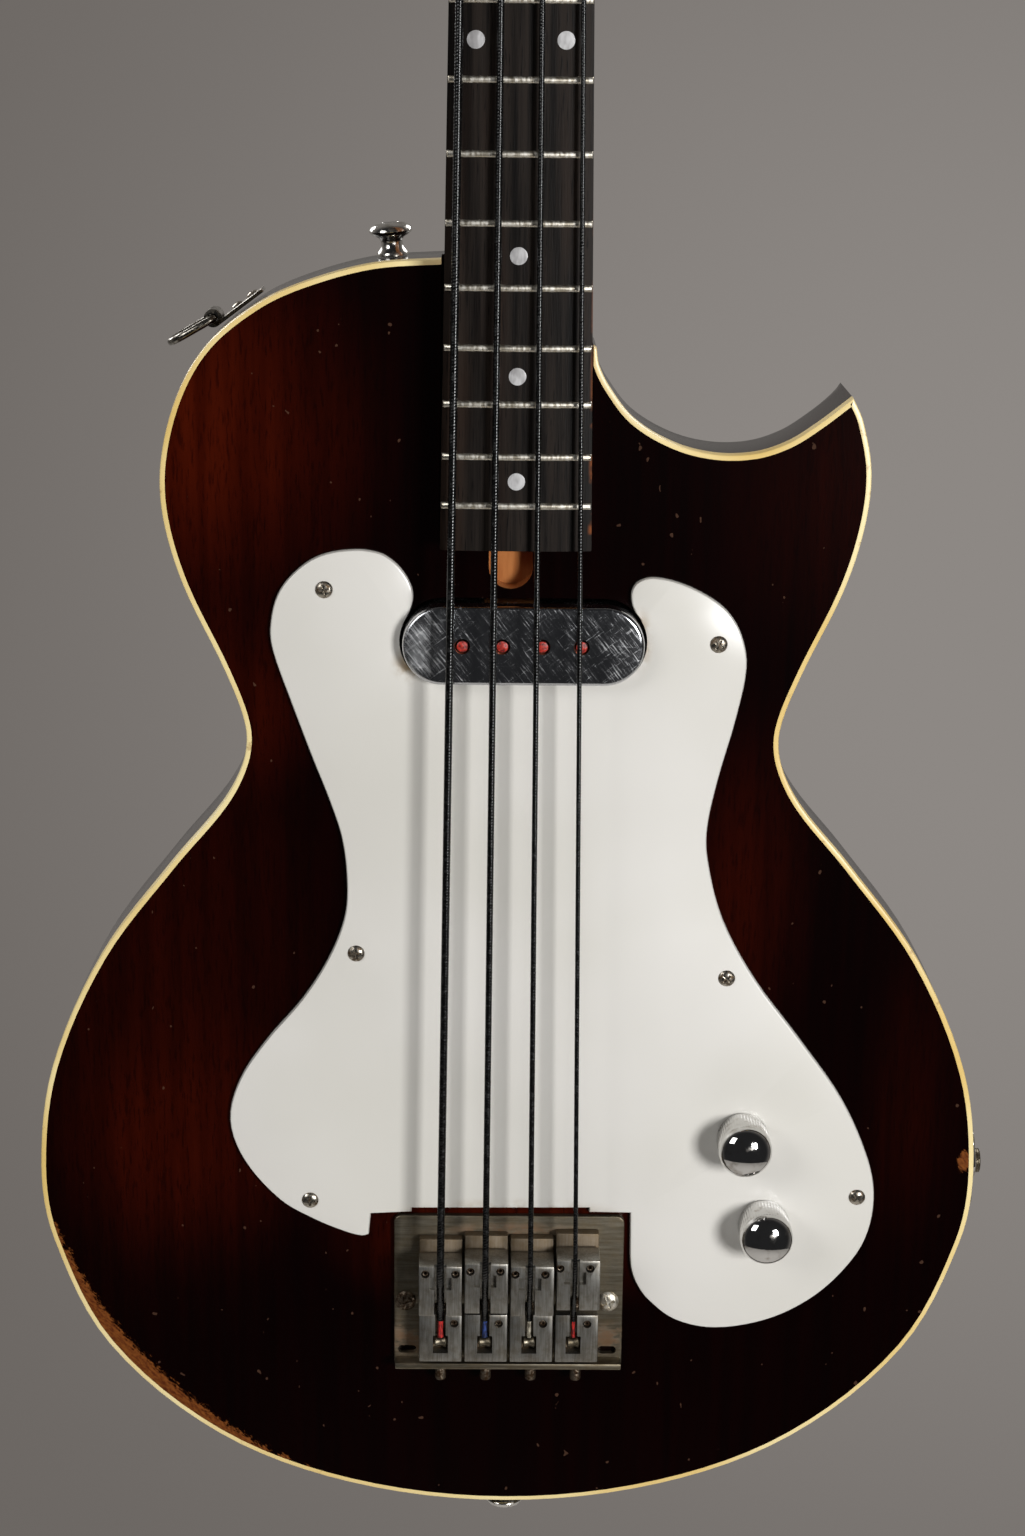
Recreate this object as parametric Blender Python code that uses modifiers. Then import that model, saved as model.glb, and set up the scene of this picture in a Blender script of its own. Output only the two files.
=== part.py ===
"""Electric bass guitar with four strings, upright, built as separate pieces.

Named sizes are in millimetres, and MM turns them into metres as each mesh is made. X is the viewer's
right, Y goes into the body from its face at 0, and Z runs up the neck from the bridge's scale line at 0.
One empty carries all of it, so that the world's origin is the point where a hanger holds the neck.
"""

import math

import bmesh
import bpy
from mathutils import Matrix, Vector
from mathutils.geometry import interpolate_bezier

MM = 0.001
GAP = 0.3

SCALE_LENGTH = 863.6
BODY_THICKNESS = 38.0
BODY_BACK_ROUND = 10.0
BODY_END = -109.0
BODY_HALF_WIDTH = 176.0
BINDING_WIDTH = 1.9
BINDING_DEPTH = 5.0

FRET_COUNT = 19
FRET_WIDTH = 2.4
FRET_HEIGHT = 1.1
BOARD_FACE = -16.2
BOARD_THICKNESS = 6.0
BOARD_RADIUS = 300.0
BOARD_END = 272.3
BOARD_WIDTH_AT_END = 52.9
BOARD_WIDTH_AT_NUT = 38.0
NECK_BACK_LOW = 5.0
NECK_BACK_HIGH = 3.4
HEEL_DEPTH = 16.0
HEEL_TOP = 368.0
NUT_THICKNESS = 4.5

ROD_RADIUS = 2.5
ROD_DEPTH = -2.5
ROD_END_DEPTH = 4.0
ROD_NUT_RADIUS = 4.4
ROD_CHANNEL_X = -1.4
ROD_CHANNEL_WIDTH = 15.6
ROD_CHANNEL_END = 255.4

HEADSTOCK_ANGLE = 11.0
HEADSTOCK_THICKNESS = 14.0
HEADSTOCK_LENGTH = 176.0
HEADSTOCK_HALF_WIDTH = 39.0

STRINGS = "eadg"
STRING_DIAMETERS = (2.8, 2.4, 2.0, 1.7)
STRING_SPREAD_AT_NUT = 32.4
STRING_SPREAD_AT_BRIDGE = 50.4
STRING_OVER_BOARD_AT_NUT = 1.5
STRING_OVER_BOARD_AT_BRIDGE = 5.0

# The neck hanger's two pegs hold the instrument here, behind the nut.
HANGER_Z = SCALE_LENGTH + NUT_THICKNESS

NECK_TOP = BOARD_FACE + BOARD_THICKNESS


def new_collection(name):
    collection = bpy.data.collections.new(name)
    bpy.context.scene.collection.children.link(collection)
    return collection


for leftover in list(bpy.data.objects):
    bpy.data.objects.remove(leftover, do_unlink=True)
parts = new_collection("bass_guitar")
cutters = new_collection("cutters")

instrument = bpy.data.objects.new("instrument", None)
instrument.location = (0, -NECK_TOP * MM, -HANGER_Z * MM)
parts.objects.link(instrument)


def finish(name, color, roughness, metallic):
    material = bpy.data.materials.new(name)
    material.use_nodes = True
    shader = material.node_tree.nodes["Principled BSDF"]
    shader.inputs["Base Color"].default_value = (*color, 1)
    shader.inputs["Roughness"].default_value = roughness
    shader.inputs["Metallic"].default_value = metallic
    material.diffuse_color = (*color, 1)
    return material


LACQUER = finish("lacquered_wood", (0.035, 0.008, 0.005), 0.2, 0)
CREAM = finish("cream_plastic", (0.86, 0.74, 0.42), 0.35, 0)
MAPLE = finish("maple", (0.42, 0.22, 0.09), 0.35, 0)
ROSEWOOD = finish("rosewood", (0.06, 0.03, 0.02), 0.5, 0)
BONE = finish("bone", (0.8, 0.76, 0.65), 0.4, 0)
STEEL = finish("steel", (0.5, 0.5, 0.5), 0.3, 1)
CHROME = finish("chrome", (0.8, 0.8, 0.8), 0.12, 1)
NICKEL = finish("aged_nickel", (0.42, 0.38, 0.33), 0.35, 1)
PEARL = finish("guard_plastic", (0.68, 0.65, 0.6), 0.25, 0)
COPPER = finish("coil_wire", (0.3, 0.1, 0.04), 0.5, 0.3)
BRASS = finish("brass", (0.6, 0.42, 0.18), 0.3, 1)
TAPE = finish("black_string_tape", (0.01, 0.01, 0.01), 0.35, 0)
CLOTH = finish("wire_cloth", (0.05, 0.05, 0.05), 0.7, 0)
FOAM = finish("grey_foam", (0.12, 0.12, 0.12), 0.9, 0)
RESIN = finish("capacitor_resin", (0.35, 0.1, 0.03), 0.4, 0)


def add_object(name, mesh, material, frame=instrument):
    if material:
        mesh.materials.append(material)
    obj = bpy.data.objects.new(name, mesh)
    parts.objects.link(obj)
    obj.parent = frame
    return obj


def from_bmesh(name, shape, material, frame=instrument):
    """The shape, drawn in millimetres, as an object in metres."""
    bmesh.ops.recalc_face_normals(shape, faces=shape.faces)
    mesh = bpy.data.meshes.new(name)
    shape.to_mesh(mesh)
    shape.free()
    mesh.transform(Matrix.Scale(MM, 4))
    return add_object(name, mesh, material, frame)


def box(name, low, high, material=None, frame=instrument):
    low, high = Vector(low), Vector(high)
    shape = bmesh.new()
    place = Matrix.Translation((low + high) / 2) @ Matrix.Diagonal((*(high - low), 1))
    bmesh.ops.create_cube(shape, size=1, matrix=place)
    return from_bmesh(name, shape, material, frame)


def rod(name, start, end, radius, material=None, sides=12, frame=instrument):
    start, end = Vector(start), Vector(end)
    along = end - start
    turn = along.to_track_quat("Z", "Y").to_matrix().to_4x4()
    shape = bmesh.new()
    bmesh.ops.create_cone(
        shape,
        cap_ends=True,
        segments=sides,
        radius1=radius,
        radius2=radius,
        depth=along.length,
        matrix=Matrix.Translation((start + end) / 2) @ turn,
    )
    return from_bmesh(name, shape, material, frame)


def turned(name, profile, base, axis, material=None, sides=24, frame=instrument):
    """A profile of (radius, height), from its top down its outer side, turned about an axis."""
    mesh = bpy.data.meshes.new(name)
    points = [(radius * MM, 0, height * MM) for radius, height in profile]
    ends = list(range(len(points)))
    edges = list(zip(ends, ends[1:]))
    if profile[0][0] > 0:
        edges.append((ends[-1], 0))
    mesh.from_pydata(points, edges, [])
    obj = add_object(name, mesh, material, frame)
    obj.location = Vector(base) * MM
    obj.rotation_mode = "QUATERNION"
    obj.rotation_quaternion = Vector(axis).to_track_quat("Z", "Y")
    turn = obj.modifiers.new("turn", "SCREW")
    turn.steps = turn.render_steps = sides
    turn.use_merge_vertices = True
    turn.merge_threshold = 0.00001
    return obj


def loft(name, rings, material=None, frame=instrument):
    """A solid through rings that have as many points each, closed at both ends."""
    shape = bmesh.new()
    loops = [[shape.verts.new(point) for point in ring] for ring in rings]
    for lower, upper in zip(loops, loops[1:]):
        for i in range(len(lower)):
            j = (i + 1) % len(lower)
            shape.faces.new((lower[i], lower[j], upper[j], upper[i]))
    bmesh.ops.triangulate(shape, faces=shape.faces)
    shape.faces.new(loops[0])
    shape.faces.new(loops[-1])
    return from_bmesh(name, shape, material, frame)


def as_mesh(curve_object, material):
    """A curve object made a mesh in its parent's frame, with its loose caps welded."""
    name, frame, place = curve_object.name, curve_object.parent, curve_object.matrix_basis.copy()
    evaluated = curve_object.evaluated_get(bpy.context.evaluated_depsgraph_get())
    mesh = bpy.data.meshes.new_from_object(evaluated)
    bpy.data.objects.remove(curve_object)
    mesh.transform(place)
    shape = bmesh.new()
    shape.from_mesh(mesh)
    bmesh.ops.remove_doubles(shape, verts=shape.verts, dist=0.000001)
    bmesh.ops.recalc_face_normals(shape, faces=shape.faces)
    shape.to_mesh(mesh)
    shape.free()
    mesh.materials.clear()
    return add_object(name, mesh, material, frame)


def plate(name, outlines, front, back, material=None, frame=instrument):
    """A flat outline in X and Z, with any inner outlines as holes, as thick as front to back."""
    curve = bpy.data.curves.new(name, "CURVE")
    curve.dimensions = "2D"
    curve.fill_mode = "BOTH"
    curve.extrude = (back - front) / 2 * MM
    for outline in outlines:
        spline = curve.splines.new("POLY")
        spline.points.add(len(outline) - 1)
        for point, (x, z) in zip(spline.points, outline):
            point.co = (x * MM, z * MM, 0, 1)
        spline.use_cyclic_u = True
    obj = bpy.data.objects.new(name, curve)
    parts.objects.link(obj)
    obj.parent = frame
    obj.rotation_euler = (math.pi / 2, 0, 0)
    obj.location = (0, (front + back) / 2 * MM, 0)
    return as_mesh(obj, material)


def tube(name, points, radius, material, frame=instrument, detail=2, closed=False):
    """A round wire along points, with filled caps."""
    curve = bpy.data.curves.new(name, "CURVE")
    curve.dimensions = "3D"
    curve.bevel_depth = radius * MM
    curve.bevel_resolution = detail
    curve.use_fill_caps = not closed
    spline = curve.splines.new("POLY")
    spline.points.add(len(points) - 1)
    for point, place in zip(spline.points, points):
        point.co = (*(Vector(place) * MM), 1)
    spline.use_cyclic_u = closed
    curve.materials.append(material)
    obj = bpy.data.objects.new(name, curve)
    parts.objects.link(obj)
    obj.parent = frame
    return obj


def hide(helper):
    parts.objects.unlink(helper)
    cutters.objects.link(helper)
    helper.hide_render = True
    helper.display_type = "WIRE"


def boolean(target, operation, helpers):
    """Cuts or joins each helper in turn, on plain triangles, which large faces with holes don't upset."""
    for helper in helpers:
        target.modifiers.new("triangles", "TRIANGULATE")
        modifier = target.modifiers.new(helper.name, "BOOLEAN")
        modifier.operation = operation
        modifier.object = helper
        hide(helper)


def cut(target, *helpers):
    boolean(target, "DIFFERENCE", helpers)


def fuse(target, *helpers):
    boolean(target, "UNION", helpers)


def hinge_on(obj, point):
    """Moves an object's origin to a point on its joint's axis, with the mesh left where it is."""
    obj.data.transform(Matrix.Translation(-Vector(point) * MM))
    obj.location = Vector(point) * MM
    return obj


def smooth_run(knots, steps=2):
    """Points on one smooth curve through knots in the plane, its two ends among them."""
    knots = [Vector((x, z, 0)) for x, z in knots]
    leans = []
    for i in range(len(knots)):
        before, after = knots[max(i - 1, 0)], knots[min(i + 1, len(knots) - 1)]
        leans.append((after - before).normalized())
    run = []
    for i in range(len(knots) - 1):
        near, far = knots[i], knots[i + 1]
        reach = (far - near).length / 3
        stretch = interpolate_bezier(
            near, near + leans[i] * reach, far - leans[i + 1] * reach, far, steps + 1
        )
        run.extend((point.x, point.y) for point in stretch[:-1])
    run.append((knots[-1].x, knots[-1].y))
    return run


def round_rectangle(left, right, low, high, radius, steps=3):
    """A rectangle's outline, with each corner an arc."""
    outline = []
    centres = ((right, high), (left, high), (left, low), (right, low))
    for quarter, (x, z) in enumerate(centres):
        centre_x = x - radius if x == right else x + radius
        centre_z = z - radius if z == high else z + radius
        for step in range(steps + 1):
            angle = (quarter + step / steps) * math.pi / 2
            outline.append((centre_x + radius * math.cos(angle), centre_z + radius * math.sin(angle)))
    return outline


def inset(outline, depths):
    """The outline moved inwards, by one depth or by a depth for each point."""
    points = [Vector(point) for point in outline]
    count = len(points)
    if not isinstance(depths, list):
        depths = [depths] * count
    area = sum(points[i].cross(points[(i + 1) % count]) for i in range(count))
    side = 1 if area > 0 else -1
    moved = []
    for i, depth in enumerate(depths):
        before = (points[i] - points[i - 1]).normalized()
        after = (points[(i + 1) % count] - points[i]).normalized()
        normals = [Vector((-way.y, way.x)) * side for way in (before, after)]
        middle = (normals[0] + normals[1]).normalized()
        moved.append(tuple(points[i] + middle * depth / max(middle.dot(normals[0]), 0.5)))
    return moved


def in_plane(outline, y):
    """An outline's points in space, at one depth."""
    return [(x, y, z) for x, z in outline]


def mirrored(run):
    return [(-x, z) for x, z in reversed(run)]


# Body: both halves share the lower bout, and the two upper ends differ.
# The left upper end is a plain shoulder, and the right one a pointed horn over a cutaway, whose inner
# end lies beside the neck.
NECK_SIDE = BOARD_WIDTH_AT_END / 2
LOWER_BOUT = (
    (0, BODY_END), (60.5, -101.3), (111, -80.1), (152.4, -42), (172.2, 2), (BODY_HALF_WIDTH, 32),
    (170.3, 72), (151, 115.8), (124, 152.2), (105, 175.3), (97.3, 191), (96.4, 204),
)
LEFT_SHOULDER = (
    (-103.3, 224.2), (-117.7, 255.7), (-124.3, 280), (-124.6, 300), (-118.5, 323), (-107.8, 340.8),
    (-90.3, 355), (-73.6, 362.8), (-50, 369.3), (-24.8, 371.2),
)
RIGHT_SHOULDER = ((103.3, 224.2), (117.2, 255.3), (123.6, 278), (125.2, 298), (121.5, 316))
HORN_TIP = (117.6, 324.4)
CUTAWAY = (
    (105.4, 314.8), (95.4, 308.4), (84, 304.6), (70, 304.2), (NECK_SIDE + 29.15, 307.8),
    (NECK_SIDE + 14.95, 316.1), (NECK_SIDE + 6.05, 327.2), (NECK_SIDE + 2.15, 335),
    (NECK_SIDE + 1.15, 341),
)
HORN_ROUND_SHARE = 0.4

lower_right = smooth_run(LOWER_BOUT + RIGHT_SHOULDER + (HORN_TIP,))
lower_left = smooth_run(LOWER_BOUT + tuple((-x, z) for x, z in LEFT_SHOULDER))
cutaway = smooth_run((HORN_TIP,) + CUTAWAY)
body_outline = mirrored(lower_left)[:-1] + lower_right[:-1] + cutaway


def back_round_depths(share):
    """How far the back's rounded edge pulls each point in: less where the horn is too narrow for it."""
    tip = Vector(HORN_TIP)
    depths = []
    for point in body_outline:
        room = (Vector(point) - tip).length * HORN_ROUND_SHARE
        depths.append(min(BODY_BACK_ROUND, room) * share)
    return depths


body_rings = [in_plane(body_outline, 0)]
for degrees in (0, 45, 90):
    angle = math.radians(degrees)
    depth = BODY_THICKNESS - BODY_BACK_ROUND * (1 - math.sin(angle))
    body_rings.append(in_plane(inset(body_outline, back_round_depths(1 - math.cos(angle))), depth))
body = loft("body", body_rings, LACQUER)

# The binding is a cream strip let into the front edge, and it stops at the neck on both sides.
rebate_outline = inset(body_outline, BINDING_WIDTH + GAP)
cut(
    body,
    plate(
        "binding_rebate",
        [inset(body_outline, -GAP), rebate_outline],
        -GAP,
        BINDING_DEPTH + GAP,
    ),
)
body_binding = plate(
    "body_binding", [body_outline, inset(body_outline, BINDING_WIDTH)], 0, BINDING_DEPTH, CREAM
)


# Neck: a rounded shaft, a square heel let into the body and a head that leans back.
BOARD_LENGTH = SCALE_LENGTH - BOARD_END
SHAFT_START = HEEL_TOP - 8
HEEL_SIDE_GAP = 1.0
HEEL_PROUD = 0.15


def board_half_width(z):
    share = (z - BOARD_END) / BOARD_LENGTH
    return (BOARD_WIDTH_AT_END + (BOARD_WIDTH_AT_NUT - BOARD_WIDTH_AT_END) * share) / 2


def neck_back(z):
    share = (z - BOARD_END) / BOARD_LENGTH
    return NECK_BACK_LOW + (NECK_BACK_HIGH - NECK_BACK_LOW) * share


def shaft_ring(z):
    """The neck's section: flat under the board, with short square sides and a round back."""
    half, back = board_half_width(z), neck_back(z)
    shoulder = NECK_TOP + 2
    ring = [(half, NECK_TOP, z)]
    for step in range(9):
        angle = step * math.pi / 8
        ring.append((half * math.cos(angle), shoulder + (back - shoulder) * math.sin(angle), z))
    ring.append((-half, NECK_TOP, z))
    return ring


shaft_end = SCALE_LENGTH + NUT_THICKNESS + 2
neck = loft("neck", [shaft_ring(z) for z in (SHAFT_START, shaft_end)], MAPLE)
heel_half = board_half_width(BOARD_END) + HEEL_PROUD
heel_top_half = board_half_width(HEEL_TOP) + HEEL_PROUD
heel_outline = (
    (-heel_half, BOARD_END), (heel_half, BOARD_END), (heel_top_half, HEEL_TOP), (-heel_top_half, HEEL_TOP)
)
fuse(neck, plate("heel", [heel_outline], NECK_TOP, HEEL_DEPTH))

# The head is drawn upright in its own frame, which leans back from the nut.
HEAD_FACE_DROP = 0.8
HEAD_KNOTS = (
    (20.5, -3), (22, 6), (31, 24), (38, 46), (HEADSTOCK_HALF_WIDTH, 80), (37.5, 120), (35, 150),
    (28, 168), (14, HEADSTOCK_LENGTH), (0, HEADSTOCK_LENGTH - 3),
)
head_frame = bpy.data.objects.new("head_frame", None)
parts.objects.link(head_frame)
head_frame.parent = instrument
head_frame.location = (0, (NECK_TOP + HEAD_FACE_DROP) * MM, HANGER_Z * MM)
head_frame.rotation_euler = (-math.radians(HEADSTOCK_ANGLE), 0, 0)
head_half = smooth_run(HEAD_KNOTS, 2)
head_outline = head_half + [(-x, z) for x, z in reversed(head_half[:-1])]
head_wood = plate("head_wood", [head_outline], 0, HEADSTOCK_THICKNESS, frame=head_frame)
fuse(neck, head_wood)

pocket_half = heel_half + GAP
pocket_top_half = heel_top_half + HEEL_SIDE_GAP
pocket_outline = (
    (-pocket_half, BOARD_END - GAP), (pocket_half, BOARD_END - GAP),
    (pocket_top_half, HEEL_TOP + 20), (-pocket_top_half, HEEL_TOP + 20),
)
cut(body, plate("neck_pocket", [pocket_outline], -1, HEEL_DEPTH + GAP))
cut(body_binding, plate("binding_gap_at_neck", [pocket_outline], -1, BINDING_DEPTH + 1))


# Fingerboard with its frets, both crowned across to one radius.
def crown_drop(x):
    """How much lower the board's crowned face is at x than along its middle."""
    return BOARD_RADIUS - math.sqrt(BOARD_RADIUS**2 - x * x)


def crowned_ring(z, half, top, bottom, steps):
    """A section whose top follows the board's crown and whose bottom is flat, or follows it as well."""
    across = [half * (2 * i / steps - 1) for i in range(steps + 1)]
    ring = [(x, top + crown_drop(x), z) for x in across]
    if bottom is None:
        return ring + [(half, NECK_TOP - GAP, z), (-half, NECK_TOP - GAP, z)]
    return ring + [(x, bottom + crown_drop(x), z) for x in reversed(across)]


CROWN_STEPS = 2
FRET_TANG = 0.8
board_ends = (BOARD_END, SCALE_LENGTH - GAP)
fingerboard = loft(
    "fingerboard",
    [crowned_ring(z, board_half_width(z), BOARD_FACE, None, CROWN_STEPS) for z in board_ends],
    ROSEWOOD,
)


def fret_place(number):
    return SCALE_LENGTH * 2 ** (-number / 12)


for number in range(1, FRET_COUNT + 1):
    z = fret_place(number)
    half = board_half_width(z) - 0.5
    crown = (
        (z - FRET_WIDTH / 2, BOARD_FACE - FRET_HEIGHT * 0.3),
        (z, BOARD_FACE - FRET_HEIGHT),
        (z + FRET_WIDTH / 2, BOARD_FACE - FRET_HEIGHT * 0.3),
    )
    rings = [
        crowned_ring(place, half, top, BOARD_FACE + FRET_TANG, CROWN_STEPS) for place, top in crown
    ]
    fuse(fingerboard, loft(f"fret_{number}", rings))


# Nut: a bone bar across the board's end, with a slot for each string.
def string_side(index, spread):
    return spread * (index / (len(STRINGS) - 1) - 0.5)


def string_base_at_nut(x):
    """Where the underside of a string lies as it leaves the nut."""
    return BOARD_FACE - STRING_OVER_BOARD_AT_NUT + crown_drop(x)


def string_base_at_bridge(x):
    return BOARD_FACE - STRING_OVER_BOARD_AT_BRIDGE + crown_drop(x)


NUT_ABOVE_BOARD = 2.6
nut_half = BOARD_WIDTH_AT_NUT / 2
nut = box(
    "nut",
    (-nut_half, BOARD_FACE - NUT_ABOVE_BOARD, SCALE_LENGTH),
    (nut_half, NECK_TOP - GAP, SCALE_LENGTH + NUT_THICKNESS),
    BONE,
)
for index, diameter in enumerate(STRING_DIAMETERS):
    x = string_side(index, STRING_SPREAD_AT_NUT)
    reach = diameter / 2 + GAP
    floor = string_base_at_nut(x) + GAP
    slot_ends = (SCALE_LENGTH - 1, SCALE_LENGTH + NUT_THICKNESS + 1)
    cut(
        nut,
        box(
            f"nut_slot_{STRINGS[index]}",
            (x - reach, BOARD_FACE - NUT_ABOVE_BOARD - 1, slot_ends[0]),
            (x + reach, floor, slot_ends[1]),
        ),
    )

# Truss rod: it runs down the neck and dives into the heel, where its nut is reached from a channel
# in the body's face, between the board's end and the pickup.
ROD_STRAIGHT_FROM = BOARD_END + 130
ROD_DIVE_TO = BOARD_END + 32
ROD_TOP = SCALE_LENGTH - 14
ROD_NUT_LENGTH = 10.0
ROD_NUT_START = BOARD_END + 2
ROD_NUT_BORE = ROD_RADIUS + GAP
ROD_THREAD_END = ROD_NUT_START + 3

rod_route = (
    (0, ROD_END_DEPTH, ROD_THREAD_END),
    (0, ROD_END_DEPTH, ROD_DIVE_TO),
    (0, ROD_END_DEPTH - 0.5, ROD_DIVE_TO + 12),
    (0, ROD_DEPTH + 0.5, ROD_STRAIGHT_FROM - 12),
    (0, ROD_DEPTH, ROD_STRAIGHT_FROM),
    (0, ROD_DEPTH, ROD_TOP),
)
tube("truss_rod", rod_route, ROD_RADIUS, STEEL)
slot_reach = ROD_RADIUS + GAP
groove_rings = []
for stop, (x, y, z) in enumerate(rod_route):
    end_room = (-GAP if stop == 0 else 0) + (GAP if stop == len(rod_route) - 1 else 0)
    low, high = NECK_TOP - 1, y + slot_reach
    corners = ((-slot_reach, low), (slot_reach, low), (slot_reach, high), (-slot_reach, high))
    groove_rings.append([(x + across, deep, z + end_room) for across, deep in corners])
cut(neck, loft("rod_groove", groove_rings))
nut_bore_end = ROD_NUT_START + ROD_NUT_LENGTH + GAP
rod_nut_room = rod(
    "rod_nut_room",
    (0, ROD_END_DEPTH, BOARD_END - 1),
    (0, ROD_END_DEPTH, nut_bore_end),
    ROD_NUT_RADIUS + GAP,
)
cut(neck, rod_nut_room)

truss_rod_nut = rod(
    "truss_rod_nut",
    (0, ROD_END_DEPTH, ROD_NUT_START),
    (0, ROD_END_DEPTH, ROD_NUT_START + ROD_NUT_LENGTH),
    ROD_NUT_RADIUS,
    STEEL,
    12,
)
cut(
    truss_rod_nut,
    rod(
        "rod_nut_thread",
        (0, ROD_END_DEPTH, ROD_THREAD_END - GAP),
        (0, ROD_END_DEPTH, ROD_NUT_START + ROD_NUT_LENGTH + 1),
        ROD_NUT_BORE,
        sides=12,
    ),
    box(
        "rod_nut_slot",
        (-ROD_NUT_RADIUS - 1, ROD_END_DEPTH - 0.6, ROD_NUT_START - 1),
        (ROD_NUT_RADIUS + 1, ROD_END_DEPTH + 0.6, ROD_NUT_START + 2),
    ),
)
hinge_on(truss_rod_nut, (0, ROD_END_DEPTH, ROD_NUT_START))

channel_half = ROD_CHANNEL_WIDTH / 2
channel_floor = ROD_END_DEPTH + ROD_NUT_RADIUS + 1
channel_outline = round_rectangle(
    ROD_CHANNEL_X - channel_half, ROD_CHANNEL_X + channel_half,
    ROD_CHANNEL_END, BOARD_END + channel_half, channel_half - 0.1,
)
cut(body, plate("rod_channel", [channel_outline], -1, channel_floor))

# Neck plate: its four screws go through the body into the heel, and are made as one piece with it.
PLATE_HALF_WIDTH = 23.0
PLATE_LENGTH = 56.0
PLATE_THICKNESS = 2.0
PLATE_START = BOARD_END + 1
PLATE_SCREW_MARGIN = 6.5
NECK_SCREW_RADIUS = 2.3
NECK_SCREW_HEAD_RADIUS = 4.5
NECK_SCREW_HEAD = 1.8
neck_screw_tip = HEEL_DEPTH - 13

plate_face = BODY_THICKNESS + GAP
neck_plate = plate(
    "neck_plate",
    [round_rectangle(-PLATE_HALF_WIDTH, PLATE_HALF_WIDTH, PLATE_START, PLATE_START + PLATE_LENGTH, 6)],
    plate_face,
    plate_face + PLATE_THICKNESS,
    CHROME,
)
for side in (-1, 1):
    for end in (0, 1):
        x = side * (PLATE_HALF_WIDTH - PLATE_SCREW_MARGIN)
        z = PLATE_START + PLATE_SCREW_MARGIN + end * (PLATE_LENGTH - 2 * PLATE_SCREW_MARGIN)
        name = f"neck_screw_{side}_{end}"
        head_back = plate_face + PLATE_THICKNESS + NECK_SCREW_HEAD
        fuse(
            neck_plate,
            rod(name, (x, neck_screw_tip, z), (x, head_back - 0.5, z), NECK_SCREW_RADIUS, sides=10),
            rod(
                name + "_head",
                (x, plate_face + PLATE_THICKNESS - 0.5, z),
                (x, head_back, z),
                NECK_SCREW_HEAD_RADIUS,
            ),
        )
        hole = (x, neck_screw_tip - GAP, z), (x, BODY_THICKNESS + 1, z)
        cut(neck, rod(name + "_pilot", *hole, NECK_SCREW_RADIUS + GAP, sides=10))
        cut(body, rod(name + "_hole", *hole, NECK_SCREW_RADIUS + GAP, sides=10))


# Pickguard: one sheet of plastic, held by six screws that are made as one piece with it. It has a
# cut-out round the pickup, open between its two upper lobes, and a step round the bridge.
GUARD_THICKNESS = 2.4
GUARD_FRONT = -GAP - GUARD_THICKNESS
GUARD_SCREWS = ((-67.5, 255.2), (73, 236.4), (-56.8, 118.7), (79.8, 109.9), (-74.6, 19.9), (131.8, 22.3))
GUARD_SCREW_RADIUS = 1.6
GUARD_SCREW_DEPTH = 12.0
GUARD_SCREW_HEAD_RADIUS = 3.1
GUARD_SCREW_HEAD = 1.3

PICKUP_X = 3.3
PICKUP_Z = 236.6
PICKUP_LENGTH = 86.0
PICKUP_WIDTH = 28.7
PICKUP_TOP = -10.0
PICKUP_WALL = 1.0
PICKUP_CLEARANCE = 1.2

pickup_half_length = PICKUP_LENGTH / 2
pickup_half_width = PICKUP_WIDTH / 2
pickup_low = PICKUP_Z - pickup_half_width
pickup_high = PICKUP_Z + pickup_half_width


def racetrack(grow, steps=5):
    """The pickup's outline, grown by some clearance: a rectangle with half-round ends."""
    return round_rectangle(
        PICKUP_X - pickup_half_length - grow,
        PICKUP_X + pickup_half_length + grow,
        pickup_low - grow,
        pickup_high + grow,
        pickup_half_width + grow - 0.05,
        steps,
    )


BLOCK_GAP = 1.0
BLOCK_PITCH_OVER_STRINGS = 0.4
BRIDGE_MIDDLE = 0.6
BRIDGE_MARGIN = 9.2
BRIDGE_TOP = 13.8
BRIDGE_END = -50.3
BRIDGE_THICKNESS = 2.5
BRIDGE_CLEARANCE = 1.2
GUARD_STEP_LEFT_OF_BRIDGE = 8.0
GUARD_STEP_RIGHT_OF_BRIDGE = 1.8

# The bridge's blocks follow the strings, and its plate and the guard's step follow the blocks.
block_pitch = STRING_SPREAD_AT_BRIDGE / (len(STRINGS) - 1) + BLOCK_PITCH_OVER_STRINGS
block_width = block_pitch - BLOCK_GAP
bridge_half_width = block_pitch * len(STRINGS) / 2 + BRIDGE_MARGIN
bridge_left = BRIDGE_MIDDLE - bridge_half_width
bridge_right = BRIDGE_MIDDLE + bridge_half_width
guard_step_z = BRIDGE_TOP + BRIDGE_CLEARANCE
guard_step_right = bridge_right + GUARD_STEP_RIGHT_OF_BRIDGE
guard_step_left = bridge_left - GUARD_STEP_LEFT_OF_BRIDGE

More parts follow.
